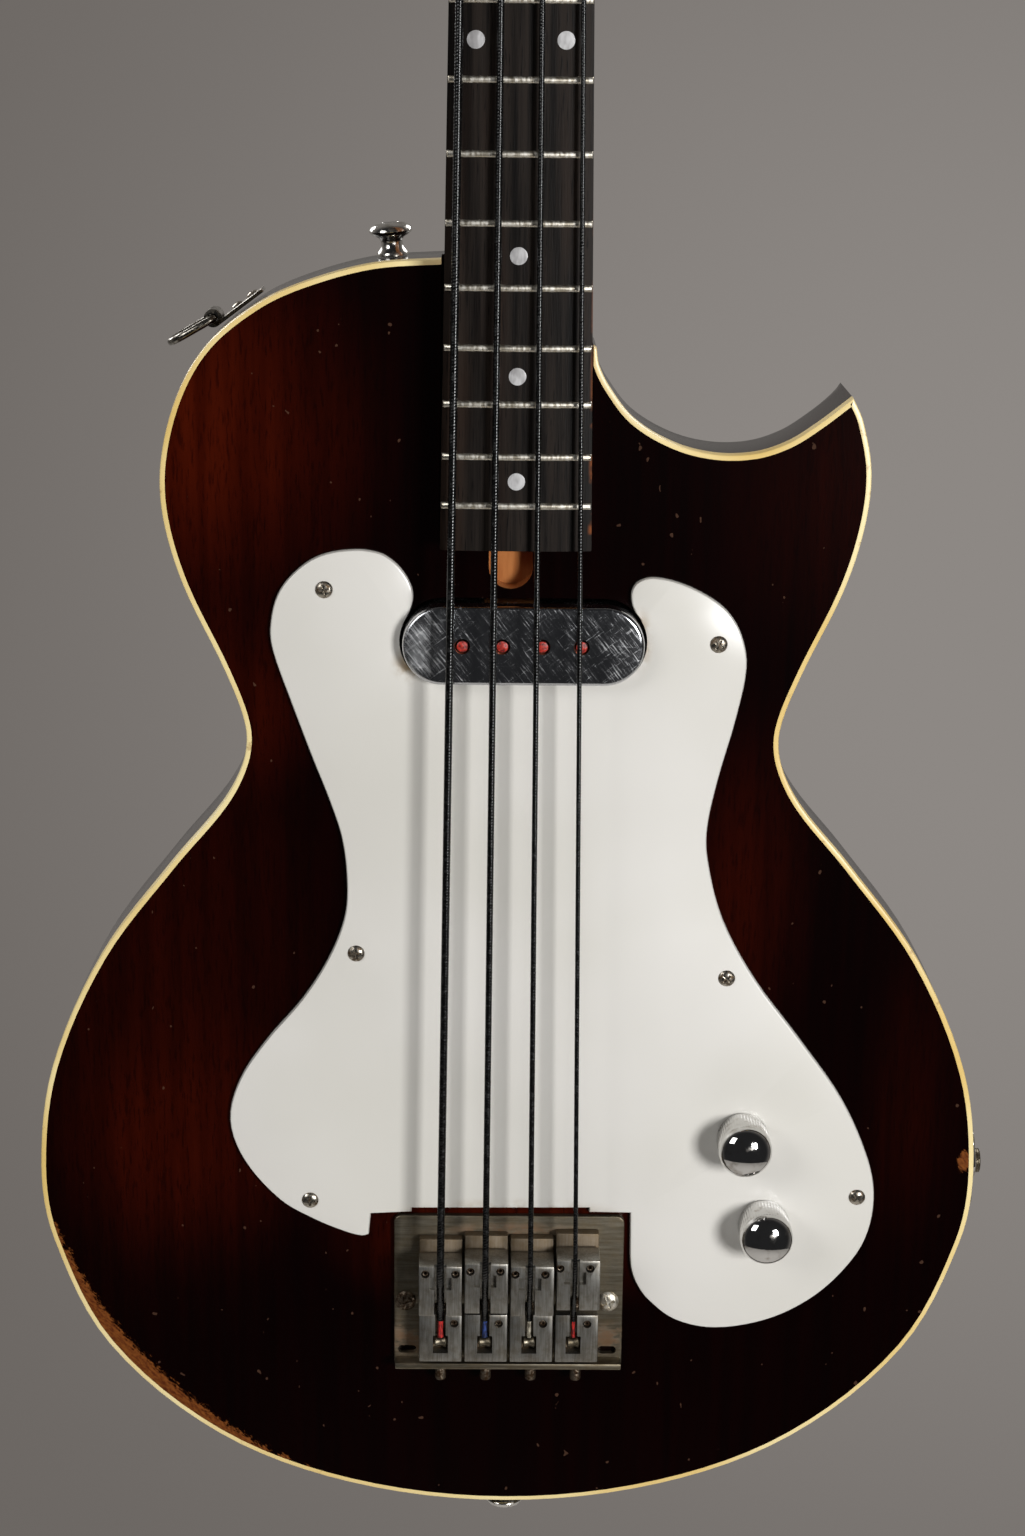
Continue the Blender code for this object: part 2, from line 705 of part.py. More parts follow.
guard_left_knots = (
    (-39, 258.5), (-41.5, 264), (-48, 268.4), (-57, 269.5), (-68.8, 267.3), (-77.7, 261.4), (-84.2, 252.7),
    (-86.8, 241), (-85.9, 232.3), (-80, 214.7), (-72, 192.4), (-66.3, 177.4), (-61.7, 162.3), (-60, 145),
    (-61.2, 131.6), (-67.2, 116), (-76.9, 100.2), (-90, 84.3), (-100.3, 68.3), (-104.3, 52.2),
    (-99.3, 36), (-86, 19.7), (-72.9, 11.6), (-61.6, 6.7), (-55, 5.6), (guard_step_left, guard_step_z),
)
guard_right_knots = (
    (guard_step_right, -9.2), (guard_step_right + 2.7, -12.6), (guard_step_right + 7.1, -21),
    (64.4, -29.4), (79.8, -32.7), (99.3, -29.2), (115.4, -20.7), (127.5, -9), (135.7, 4.5),
    (138.4, 21.1), (135.4, 37.5), (124.5, 61.7), (107.8, 85.6), (90.3, 109.2), (77.7, 132.5),
    (71.5, 155.6), (71, 168), (74.3, 186), (80, 208.5), (83.3, 227.8), (81.2, 239.5), (75.9, 248.2),
    (68.3, 254), (58, 258.6), (50, 260.5), (44.5, 259.5), (42, 255.5),
)
guard_outline = smooth_run(guard_left_knots, 2)
guard_outline += [(guard_step_right, guard_step_z)]
guard_outline += smooth_run(guard_right_knots, 2)
guard_opening_edge = pickup_high + PICKUP_CLEARANCE
guard_outline += [(42, guard_opening_edge - 2), (-39, guard_opening_edge - 2)]

pickguard = plate("pickguard", [guard_outline], GUARD_FRONT, -GAP, PEARL)
cut(pickguard, plate("guard_pickup_opening", [racetrack(PICKUP_CLEARANCE)], GUARD_FRONT - 1, 1))
for number, (x, z) in enumerate(GUARD_SCREWS):
    name = f"guard_screw_{number}"
    head_front = GUARD_FRONT - GUARD_SCREW_HEAD
    head = (x, head_front, z), (x, GUARD_FRONT + 0.5, z)
    shank = (x, GUARD_FRONT + 0.2, z), (x, GUARD_SCREW_DEPTH, z)
    fuse(
        pickguard,
        rod(name + "_head", *head, GUARD_SCREW_HEAD_RADIUS, sides=12),
        rod(name, *shank, GUARD_SCREW_RADIUS, sides=8),
    )
    hole = (x, -1, z), (x, GUARD_SCREW_DEPTH + GAP, z)
    cut(body, rod(name + "_hole", *hole, GUARD_SCREW_RADIUS + GAP, sides=8))

# Pickup: a plated cover over a coil, closed behind by a base plate whose four pole screws come up
# through the coil to holes in the cover. It stands on foam in a pocket in the body.
POLE_XS = (-18.4, -4.2, 10.0, 23.9)
POLE_RADIUS = 2.1
POLE_HOLE_RADIUS = 2.6
COVER_BACK = 6.0
BASE_THICKNESS = 1.5
FOAM_THICKNESS = 5.0
LEAD_ROOM = 22.0

pickup_cover = plate("pickup_cover", [racetrack(0)], PICKUP_TOP, COVER_BACK, CHROME)
cut(
    pickup_cover,
    plate("cover_inside", [racetrack(-PICKUP_WALL)], PICKUP_TOP + PICKUP_WALL, COVER_BACK + 1),
)
coil_front = PICKUP_TOP + PICKUP_WALL + GAP
coil_back = COVER_BACK - GAP
pickup_coil = plate("pickup_coil", [racetrack(-PICKUP_WALL - 1.5, 4)], coil_front, coil_back, COPPER)
base_front = COVER_BACK + GAP
pickup_back = base_front + BASE_THICKNESS
pickup_base = plate("pickup_base", [racetrack(0)], base_front, pickup_back, BRASS)
for number, x in enumerate(POLE_XS):
    name = f"pole_{number}"
    front, back = (x, PICKUP_TOP + GAP, PICKUP_Z), (x, base_front + 0.5, PICKUP_Z)
    fuse(pickup_base, rod(name, front, back, POLE_RADIUS, sides=10))
    through = (x, PICKUP_TOP - 1, PICKUP_Z), (x, COVER_BACK + 0.2, PICKUP_Z)
    cut(pickup_coil, rod(name + "_coil_hole", *through, POLE_HOLE_RADIUS, sides=10))
    cut(pickup_cover, rod(name + "_cover_hole", *through, POLE_HOLE_RADIUS, sides=10))
foam_back = pickup_back + GAP + FOAM_THICKNESS
cut(body, plate("pickup_pocket", [racetrack(PICKUP_CLEARANCE, 4)], -1, foam_back + GAP))
foam_outline = round_rectangle(
    PICKUP_X - pickup_half_length + 8,
    PICKUP_X + pickup_half_length - LEAD_ROOM,
    pickup_low + 4,
    pickup_high - 4,
    3,
    2,
)
plate("pickup_foam", [foam_outline], pickup_back + GAP, foam_back, FOAM)

# Controls: a volume and a tone pot hang from the guard in a hollow behind it. Each has a shaft that
# turns in it and a knurled knob on the shaft.
CONTROL_PLACES = {"volume": (87.6, 46.8), "tone": (96.7, 11.5)}
HOLLOW_MARGIN = 8.0
HOLLOW_WALL_BEHIND = 8.0
HOLLOW_RIGHT = 127.0
POT_RADIUS = 12.0
POT_DEPTH = 9.0
BUSHING_RADIUS = 4.7
POT_NUT_RADIUS = 6.5
POT_NUT = 2.0
SHAFT_RADIUS = 3.0
KNOB_RADIUS = 10.0
KNOB_HEIGHT = 19.0
KNOB_DOME = 4.5
KNOB_GAP = 0.8

hollow_back = BODY_THICKNESS - HOLLOW_WALL_BEHIND
hollow_left = CONTROL_PLACES["volume"][0] - POT_RADIUS - HOLLOW_MARGIN
hollow_low = CONTROL_PLACES["tone"][1] - POT_RADIUS - HOLLOW_MARGIN
hollow_high = CONTROL_PLACES["volume"][1] + POT_RADIUS + HOLLOW_MARGIN
hollow = round_rectangle(hollow_left, HOLLOW_RIGHT, hollow_low, hollow_high, 12)
control_hollow = plate("control_hollow", [hollow], -1, hollow_back)
cut(body, control_hollow)

pot_front = 1.5
shaft_end_depth = pot_front + 3
knob_base = GUARD_FRONT - KNOB_GAP
knob_top = knob_base - KNOB_HEIGHT
shaft_front = knob_top + 5
for control, (x, z) in CONTROL_PLACES.items():
    towards_viewer = (0, -1, 0)
    bushing_end = GUARD_FRONT - POT_NUT - 1
    bore = SHAFT_RADIUS + GAP
    pot_profile = [
        (0, -shaft_end_depth - GAP), (bore, -shaft_end_depth - GAP), (bore, -bushing_end),
        (BUSHING_RADIUS, -bushing_end), (BUSHING_RADIUS, POT_NUT - GUARD_FRONT),
        (POT_NUT_RADIUS, POT_NUT - GUARD_FRONT), (POT_NUT_RADIUS, GAP - GUARD_FRONT),
        (BUSHING_RADIUS, GAP - GUARD_FRONT), (BUSHING_RADIUS, -pot_front), (POT_RADIUS, -pot_front),
        (POT_RADIUS, -pot_front - POT_DEPTH), (0, -pot_front - POT_DEPTH),
    ]
    turned(f"{control}_pot", pot_profile, (x, 0, z), towards_viewer, STEEL, 12)
    hole = (x, GUARD_FRONT - 1, z), (x, 1, z)
    cut(pickguard, rod(f"{control}_guard_hole", *hole, BUSHING_RADIUS + GAP, sides=16))
    shaft = rod(
        f"{control}_shaft", (x, shaft_front, z), (x, shaft_end_depth, z), SHAFT_RADIUS, BRASS, 12
    )
    hinge_on(shaft, (x, shaft_front, z))
    recess = POT_NUT_RADIUS + 1
    recess_end = -(bushing_end - 1)
    knob_profile = [
        (0, -knob_top),
        (KNOB_RADIUS * 0.55, -knob_top - KNOB_DOME * 0.18),
        (KNOB_RADIUS * 0.88, -knob_top - KNOB_DOME * 0.6),
        (KNOB_RADIUS, -knob_top - KNOB_DOME),
        (KNOB_RADIUS, -knob_base),
        (recess, -knob_base),
        (recess, recess_end),
        (SHAFT_RADIUS + GAP, recess_end),
        (SHAFT_RADIUS + GAP, -shaft_front + GAP),
        (0, -shaft_front + GAP),
    ]
    turned(f"{control}_knob", knob_profile, (x, 0, z), towards_viewer, CHROME, 16)


# Bridge: a plate screwed to the body, with an upright lip behind, an anchor block for each string, and
# a saddle for each string on a carriage that an intonation screw draws along the plate.
BRIDGE_LIP_TOP = -45.1
BRIDGE_LIP_THICKNESS = 2.5
BRIDGE_LIP_HEIGHT = 8.3
BRIDGE_SCREW_Z = -21.5
BRIDGE_SCREW_INSET_LEFT = 4.4
BRIDGE_SCREW_INSET_RIGHT = 5.6
BRIDGE_SCREW_HEAD_RADIUS = 4.0
BRIDGE_SCREW_RADIUS = 1.9
BRIDGE_SCREW_DEPTH = 16.0
SADDLE_TOPS = (1.7, 3.3, 2.2, 4.3)
SADDLE_LENGTH = 20.4
SADDLE_TRAVEL = 2.5
SADDLE_DROP = 1.5
SADDLE_ABOVE_STRING_BASE = 1.4
CROWN_START = 1.0
CROWN_LENGTH = 1.5
CARRIAGE_THICKNESS = 4.4
CARRIAGE_AHEAD = 4.5
HEIGHT_SCREW_INSET = 2.5
HEIGHT_SCREW_RADIUS = 1.3
ANCHOR_START = -22.3
ANCHOR_END = -42.0
ANCHOR_FACE = -13.0
WINDOW_TOP = -31.1
WINDOW_END = -38.4
WINDOW_HALF_WIDTH = 2.85
BALL_RADIUS = 2.4
INTONATION_RADIUS = 1.5
INTONATION_HEAD_RADIUS = 2.1
INTONATION_HEAD = 5.0

bridge_front = -GAP - BRIDGE_THICKNESS
bridge_screws = (
    (bridge_left + BRIDGE_SCREW_INSET_LEFT, BRIDGE_SCREW_Z),
    (bridge_right - BRIDGE_SCREW_INSET_RIGHT, BRIDGE_SCREW_Z),
)
bridge_plate = plate(
    "bridge_plate",
    [round_rectangle(bridge_left, bridge_right, BRIDGE_END, BRIDGE_TOP, 2, 2)],
    bridge_front,
    -GAP,
    NICKEL,
)
lip_end = BRIDGE_LIP_TOP - BRIDGE_LIP_THICKNESS
fuse(
    bridge_plate,
    box(
        "bridge_lip",
        (bridge_left + 1, -GAP - BRIDGE_LIP_HEIGHT, lip_end),
        (bridge_right - 1, bridge_front + 0.5, BRIDGE_LIP_TOP),
    ),
)
for number, (x, z) in enumerate(bridge_screws):
    name = f"bridge_screw_{number}"
    head = (x, bridge_front - 1.6, z), (x, bridge_front + 0.5, z)
    shank = (x, bridge_front + 0.2, z), (x, BRIDGE_SCREW_DEPTH, z)
    fuse(
        bridge_plate,
        rod(name + "_head", *head, BRIDGE_SCREW_HEAD_RADIUS, sides=12),
        rod(name, *shank, BRIDGE_SCREW_RADIUS, sides=8),
    )
    hole = (x, -1, z), (x, BRIDGE_SCREW_DEPTH + GAP, z)
    cut(body, rod(name + "_hole", *hole, BRIDGE_SCREW_RADIUS + GAP, sides=8))

# The strings are as they lie at rest: straight from the nut over the saddle, then down to the anchor.
carriage_base = bridge_front - GAP
carriage_face = carriage_base - CARRIAGE_THICKNESS
screw_depth = carriage_base - CARRIAGE_THICKNESS / 2
saddle_base = carriage_face - GAP - SADDLE_DROP


def straight_string(index, z):
    """The centre of a string at z on its straight run, in X, Y and Z."""
    radius = STRING_DIAMETERS[index] / 2
    x_nut = string_side(index, STRING_SPREAD_AT_NUT)
    x_bridge = string_side(index, STRING_SPREAD_AT_BRIDGE)
    share = z / SCALE_LENGTH
    x = x_bridge + (x_nut - x_bridge) * share
    y_bridge = string_base_at_bridge(x_bridge)
    y = y_bridge + (string_base_at_nut(x_nut) - y_bridge) * share - radius
    return Vector((x, y, z))


string_bends = []
for index, name in enumerate(STRINGS):
    radius = STRING_DIAMETERS[index] / 2
    middle = BRIDGE_MIDDLE + block_pitch * (index - 1.5)
    left, right = middle - block_width / 2, middle + block_width / 2
    top = SADDLE_TOPS[index]
    end = top - SADDLE_LENGTH
    string_x = straight_string(index, top).x
    base = straight_string(index, top).y + radius
    bend_z = top - CROWN_START - CROWN_LENGTH - SADDLE_TRAVEL - GAP
    anchor_y = ANCHOR_FACE + radius + 0.5
    ball_y = ANCHOR_FACE + BALL_RADIUS + GAP
    fall = (anchor_y - (base - radius)) / (bend_z - ANCHOR_START)
    ball_z = (WINDOW_TOP + WINDOW_END) / 2
    string_bends.append(
        [
            (string_x, ball_y, ball_z),
            (string_x, anchor_y + 0.6, ANCHOR_START - 5),
            (string_x, anchor_y, ANCHOR_START),
            tuple(straight_string(index, bend_z)),
        ]
    )

    tip = end + 8
    carriage = box(
        f"saddle_carriage_{name}",
        (left, carriage_face, end),
        (right, carriage_base, top + CARRIAGE_AHEAD),
        NICKEL,
    )
    bore = (middle, screw_depth, end - 1), (middle, screw_depth, tip + SADDLE_TRAVEL + 0.5)
    cut(carriage, rod(f"carriage_bore_{name}", *bore, INTONATION_RADIUS + GAP, sides=10))
    saddle_front = base - SADDLE_ABOVE_STRING_BASE
    saddle = box(f"saddle_{name}", (left, saddle_front, end), (right, saddle_base, top), NICKEL)
    post_z = top - 3.2
    for side in (-1, 1):
        post_x = string_x + side * (block_width / 2 - HEIGHT_SCREW_INSET)
        post = (post_x, saddle_front + 0.8, post_z), (post_x, carriage_face + 0.5, post_z)
        fuse(carriage, rod(f"height_screw_{name}_{side}", *post, HEIGHT_SCREW_RADIUS, sides=8))
        way = (post_x, saddle_front - 1, post_z), (post_x, saddle_base + 1, post_z)
        cut(saddle, rod(f"height_hole_{name}_{side}", *way, HEIGHT_SCREW_RADIUS + GAP, sides=8))
    crown = base + GAP
    crown_end = top - CROWN_START - CROWN_LENGTH
    low = crown + fall * (crown_end - end + 1)
    wall = radius + GAP
    profile = (
        (saddle_front - 1, top + 1), (crown + 0.4, top + 1), (crown, top - CROWN_START),
        (crown, crown_end), (low, end - 1), (saddle_front - 1, end - 1),
    )
    slot = [[(string_x + side * wall, y, z) for y, z in profile] for side in (-1, 1)]
    cut(saddle, loft(f"saddle_slot_{name}", slot))

    anchor = box(
        f"string_anchor_{name}",
        (left, ANCHOR_FACE, ANCHOR_END),
        (right, carriage_base, ANCHOR_START),
        NICKEL,
    )
    wide = INTONATION_RADIUS + GAP
    cut(
        anchor,
        box(
            f"anchor_slot_{name}",
            (string_x - wall, ANCHOR_FACE - 1, WINDOW_TOP - 1),
            (string_x + wall, anchor_y + radius + 1.2, ANCHOR_START + 1),
        ),
        box(
            f"anchor_window_{name}",
            (string_x - WINDOW_HALF_WIDTH, ANCHOR_FACE - 1, WINDOW_END),
            (string_x + WINDOW_HALF_WIDTH, ball_y + BALL_RADIUS + GAP, WINDOW_TOP),
        ),
        box(
            f"anchor_tunnel_{name}",
            (middle - wide, screw_depth - wide, ANCHOR_END - 1),
            (middle + wide, carriage_base + 1, ANCHOR_START + 1),
        ),
    )
    screw = rod(
        f"intonation_screw_{name}",
        (middle, screw_depth, lip_end - GAP - 1),
        (middle, screw_depth, tip),
        INTONATION_RADIUS,
        NICKEL,
        10,
    )
    head_front = lip_end - GAP
    head = (middle, screw_depth, head_front - INTONATION_HEAD), (middle, screw_depth, head_front)
    fuse(screw, rod(f"intonation_head_{name}", *head, INTONATION_HEAD_RADIUS, sides=12))
    hinge_on(screw, (middle, screw_depth, head_front))
    way = (middle, screw_depth, lip_end - 1), (middle, screw_depth, BRIDGE_LIP_TOP + 1)
    cut(bridge_plate, rod(f"lip_hole_{name}", *way, INTONATION_RADIUS + GAP, sides=10))

# Tuners: each has a plate on the back of the head with a sleeve through the wood, a post with a gear,
# and a worm on a shaft with a key. They are drawn in the head's leaning frame.
POST_PLACES = {"e": (-23.5, 52), "a": (-22, 126), "d": (22, 126), "g": (23.5, 52)}
POST_RADIUS = 4.5
POST_HEAD_RADIUS = 5.6
POST_TOP = -19.0
SLEEVE_RADIUS = 6.6
TUNER_PLATE_THICKNESS = 1.5
TUNER_PLATE_HALF_WIDTH = 11.0
TUNER_PLATE_LENGTH = 44.0
GEAR_RADIUS = 8.0
WORM_RADIUS = 3.3
WORM_LENGTH = 11.0
KEY_SHAFT_RADIUS = 1.9
LUG_THICKNESS = 2.5
KEY_REACH = 21.0
KEY_LENGTH = 21.0
KEY_HALF_WIDTH = 9.5
KEY_THICKNESS = 5.0
WINDING_TURNS = 2.5
WINDING_PITCH_GAP = 0.6
WINDING_STEPS = 12
WINDING_START = -4.6

plate_low = HEADSTOCK_THICKNESS + GAP
plate_back = plate_low + TUNER_PLATE_THICKNESS
gear_front = plate_back + GAP
key_depth = gear_front + WORM_RADIUS
gear_back = key_depth + WORM_RADIUS
for name, (x, z) in POST_PLACES.items():
    outwards = 1 if x > 0 else -1
    worm_z = z - GEAR_RADIUS - WORM_RADIUS - GAP
    plate_centre = z - 8
    outline = round_rectangle(
        x - TUNER_PLATE_HALF_WIDTH,
        x + TUNER_PLATE_HALF_WIDTH,
        plate_centre - TUNER_PLATE_LENGTH / 2,
        plate_centre + TUNER_PLATE_LENGTH / 2,
        6,
        3,
    )
    tuner_plate = plate(f"tuner_plate_{name}", [outline], plate_low, plate_back, CHROME, head_frame)
    sleeve = (x, -0.8, z), (x, plate_low + 0.5, z)
    fuse(tuner_plate, rod(f"sleeve_{name}", *sleeve, SLEEVE_RADIUS, frame=head_frame))
    for side in (-1, 1):
        near = x + side * (WORM_LENGTH / 2 + GAP)
        far = near + side * LUG_THICKNESS
        low_corner = (min(near, far), plate_back - 0.5, worm_z - 4)
        high_corner = (max(near, far), key_depth + KEY_SHAFT_RADIUS + 2.2, worm_z + 4)
        lug = box(f"lug_{name}_{side}", low_corner, high_corner, None, head_frame)
        fuse(tuner_plate, lug)
    bore = (x, -2, z), (x, plate_back + 1, z)
    cut(tuner_plate, rod(f"sleeve_bore_{name}", *bore, POST_RADIUS + GAP, frame=head_frame))
    key_end = x + outwards * (WORM_LENGTH / 2 + LUG_THICKNESS + KEY_REACH)
    key_start = x - outwards * (WORM_LENGTH / 2 + GAP + LUG_THICKNESS + 0.8)
    shaft = (key_start, key_depth, worm_z), (key_end + outwards, key_depth, worm_z)
    clear = (x - 20, key_depth, worm_z), (x + 20, key_depth, worm_z)
    lug_bore = rod(f"lug_bore_{name}", *clear, KEY_SHAFT_RADIUS + GAP, sides=12, frame=head_frame)
    cut(tuner_plate, lug_bore)
    hole = (x, -1, z), (x, HEADSTOCK_THICKNESS + 1, z)
    cut(neck, rod(f"sleeve_hole_{name}", *hole, SLEEVE_RADIUS + GAP, frame=head_frame))

    post_profile = [
        (0, -POST_TOP), (POST_HEAD_RADIUS - 1, -POST_TOP), (POST_HEAD_RADIUS, -POST_TOP - 1),
        (POST_HEAD_RADIUS, -POST_TOP - 2), (POST_RADIUS, -POST_TOP - 3.2), (POST_RADIUS, -gear_front),
        (GEAR_RADIUS, -gear_front), (GEAR_RADIUS, -gear_back), (0, -gear_back),
    ]
    towards_viewer = (0, -1, 0)
    turned(f"tuner_post_{name}", post_profile, (x, 0, z), towards_viewer, CHROME, 12, head_frame)

    worm = (x - WORM_LENGTH / 2, key_depth, worm_z), (x + WORM_LENGTH / 2, key_depth, worm_z)
    key = rod(f"tuner_key_{name}", *shaft, KEY_SHAFT_RADIUS, CHROME, 10, head_frame)
    low_x, high_x = sorted((key_end, key_end + outwards * KEY_LENGTH))
    paddle = round_rectangle(low_x, high_x, worm_z - KEY_HALF_WIDTH, worm_z + KEY_HALF_WIDTH, 7, 3)
    paddle_depth = key_depth - KEY_THICKNESS / 2, key_depth + KEY_THICKNESS / 2
    fuse(
        key,
        rod(f"worm_{name}", *worm, WORM_RADIUS, sides=12, frame=head_frame),
        plate(f"paddle_{name}", [paddle], *paddle_depth, frame=head_frame),
    )
    hinge_on(key, (x, key_depth, worm_z))


def head_to_body(point):
    """A point of the head's leaning frame in the instrument's frame, in millimetres."""
    lean = math.radians(HEADSTOCK_ANGLE)
    x, y, z = point
    return Vector(
        (
            x,
            NECK_TOP + HEAD_FACE_DROP + y * math.cos(lean) + z * math.sin(lean),
            HANGER_Z + z * math.cos(lean) - y * math.sin(lean),
        )
    )


# Strings: each winds round its post from below, crosses the nut and the saddle, and ends in a ball.
least_gaps = []
for index, name in enumerate(STRINGS):
    radius = STRING_DIAMETERS[index] / 2
    x, z = POST_PLACES[name]
    inwards = -1 if x > 0 else 1
    coil_radius = POST_RADIUS + GAP + radius
    pitch = 2 * radius + WINDING_PITCH_GAP
    windings = []
    for step in range(int(WINDING_TURNS * WINDING_STEPS), -1, -1):
        turn = 2 * math.pi * step / WINDING_STEPS
        height = WINDING_START - radius - pitch * step / WINDING_STEPS
        place = (x + inwards * coil_radius * math.cos(turn), height, z + coil_radius * math.sin(turn))
        windings.append(head_to_body(place))
    last = len(windings) - 1
    spans = [
        (windings[i] - windings[j]).length
        for i in range(last)
        for j in range(i + WINDING_STEPS - 2, last + 1)
    ]
    least_gaps.append(min(spans) - 2 * radius)
    route = string_bends[index][:]
    route.append(tuple(straight_string(index, SCALE_LENGTH + NUT_THICKNESS * 0.5)))
    route.append(tuple(straight_string(index, SCALE_LENGTH + NUT_THICKNESS + 0.8)))
    route.extend(tuple(point) for point in reversed(windings))
    string = as_mesh(tube(f"string_{name}", route, radius, TAPE, detail=1), TAPE)
    ball_x, ball_y, ball_z = route[0]
    ball = (ball_x, ball_y, WINDOW_END + GAP * 2), (ball_x, ball_y, WINDOW_TOP - GAP * 2)
    fuse(string, rod(f"ball_{name}", *ball, BALL_RADIUS, sides=12))
print("least gap between a string's windings:", round(min(least_gaps), 2), "mm")


# Strap buttons: a turned button on the left shoulder and one on the lower end, each on its screw.
BUTTON_HEAD_RADIUS = 7.6
BUTTON_WAIST_RADIUS = 3.8
BUTTON_FOOT_RADIUS = 5.5
BUTTON_HEIGHT = 11.5
BUTTON_SCREW_RADIUS = 2.0
BUTTON_SCREW_DEPTH = 22.0
BUTTON_FLAT_RADIUS = 3.0
BUTTON_PLACES = {
    "strap_button_upper": ((-43.6, 370.3), (-0.09, 1.0)),
    "strap_button_end": ((0, BODY_END), (0, -1)),
}
button_depth = BODY_THICKNESS / 2
button_profile = [
    (0, BUTTON_HEIGHT), (BUTTON_FLAT_RADIUS, BUTTON_HEIGHT),
    (BUTTON_HEAD_RADIUS * 0.8, BUTTON_HEIGHT - 1), (BUTTON_HEAD_RADIUS, BUTTON_HEIGHT - 2.6),
    (BUTTON_HEAD_RADIUS, BUTTON_HEIGHT - 3.8), (BUTTON_WAIST_RADIUS, BUTTON_HEIGHT - 6.2),
    (BUTTON_WAIST_RADIUS, 3.4), (BUTTON_FOOT_RADIUS, 1.2), (BUTTON_FOOT_RADIUS, 0.6),
    (BUTTON_SCREW_RADIUS, 0.6), (BUTTON_SCREW_RADIUS, -BUTTON_SCREW_DEPTH), (0, -BUTTON_SCREW_DEPTH),
]
for name, ((x, z), (along_x, along_z)) in BUTTON_PLACES.items():
    along = Vector((along_x, 0, along_z)).normalized()
    base = Vector((x, button_depth, z))
    turned(name, button_profile, base, along, CHROME, 14)
    screw_end = base - along * (BUTTON_SCREW_DEPTH + GAP)
    cut(body, rod(name + "_hole", base + along * 3, screw_end, BUTTON_SCREW_RADIUS + GAP, sides=10))

# Ring on the left shoulder: a strap bracket screwed along the side, and a loose ring in its knuckle.
BRACKET_FOOT = Vector((-95.5, button_depth, 351.9))
BRACKET_ALONG = Vector((-0.8, 0, -0.6))
BRACKET_BACK = 9.0
KNUCKLE_RUN = 11.0
BRACKET_WIDTH = 10.0
BRACKET_THICKNESS = 1.4
BRACKET_RISE = 0.6
BRACKET_SCREWS = (-4.6, 2.0)
BRACKET_SCREW_RADIUS = 1.4
BRACKET_SCREW_HEAD_RADIUS = 2.4
KNUCKLE_RADIUS = 3.2
RING_WIRE_RADIUS = 1.35
RING_WIDTH = 17.0
RING_REACH = 19.0
RING_SWING = 7.0

along = BRACKET_ALONG.normalized()
bracket_out = Vector((along.z, 0, -along.x))


def by_bracket(run, out, across):
    """A point by its way along the bracket's strap, outwards from the body's side, and across it."""
    return BRACKET_FOOT + along * run + bracket_out * out + Vector((0, across, 0))


half = BRACKET_WIDTH / 2
low, high = BRACKET_RISE, BRACKET_RISE + BRACKET_THICKNESS
corners = ((-BRACKET_BACK, low), (KNUCKLE_RUN, low), (KNUCKLE_RUN, high), (-BRACKET_BACK, high))
ring_bracket = loft(
    "ring_bracket",
    [[by_bracket(run, out, across) for run, out in corners] for across in (-half, half)],
    CHROME,
)
knuckle_out = BRACKET_RISE + KNUCKLE_RADIUS
knuckle = by_bracket(KNUCKLE_RUN, knuckle_out, -half), by_bracket(KNUCKLE_RUN, knuckle_out, half)
fuse(ring_bracket, rod("knuckle", *knuckle, KNUCKLE_RADIUS, sides=14))
bore = by_bracket(KNUCKLE_RUN, knuckle_out, -half - 1), by_bracket(KNUCKLE_RUN, knuckle_out, half + 1)
cut(ring_bracket, rod("knuckle_bore", *bore, RING_WIRE_RADIUS + GAP, sides=12))
for number, run in enumerate(BRACKET_SCREWS):
    head = by_bracket(run, high + 1.1, 0), by_bracket(run, low + 0.4, 0)
    shank = by_bracket(run, high, 0), by_bracket(run, -12, 0)
    fuse(
        ring_bracket,
        rod(f"ring_screw_head_{number}", *head, BRACKET_SCREW_HEAD_RADIUS, sides=12),
        rod(f"ring_screw_{number}", *shank, BRACKET_SCREW_RADIUS, sides=8),
    )
    hole = by_bracket(run, 3, 0), by_bracket(run, -12 - GAP, 0)
    cut(body, rod(f"ring_screw_hole_{number}", *hole, BRACKET_SCREW_RADIUS + GAP, sides=8))

ring_centre = by_bracket(KNUCKLE_RUN, knuckle_out, 0)
swing = math.radians(RING_SWING)
ring_way = along * math.cos(swing) + bracket_out * math.sin(swing)
ring_half = RING_WIDTH / 2 - RING_WIRE_RADIUS
ring_far = RING_REACH - RING_WIRE_RADIUS
ring_outline = [(ring_half, 0), (ring_half, ring_far - ring_half)]
for step in range(1, 8):
    angle = step * math.pi / 8
    ring_outline.append((ring_half * math.cos(angle), ring_far - ring_half + ring_half * math.sin(angle)))
ring_outline += [(-ring_half, ring_far - ring_half), (-ring_half, 0)]
ring_points = [ring_centre + Vector((0, across, 0)) + ring_way * reach for across, reach in ring_outline]
strap_ring = as_mesh(tube("strap_ring", ring_points, RING_WIRE_RADIUS, CHROME, closed=True), CHROME)
hinge_on(strap_ring, ring_centre)

# Output jack: a plate over a hole in the lower right side, with the jack on it reaching into the hollow.
JACK_Z = 27.0
JACK_PLATE_LENGTH = 31.0
JACK_PLATE_WIDTH = 25.0
JACK_PLATE_THICKNESS = 2.5
JACK_FLAT = 1.2
JACK_HOLE_RADIUS = 11.0
JACK_BARREL_RADIUS = 8.5
JACK_BUSHING_RADIUS = 4.7
JACK_BORE_RADIUS = 3.3
JACK_LENGTH = 26.0
JACK_SCREW_RADIUS = 1.6
JACK_SCREW_DEPTH = 14.0
JACK_SCREW_HEAD_RADIUS = 3.0

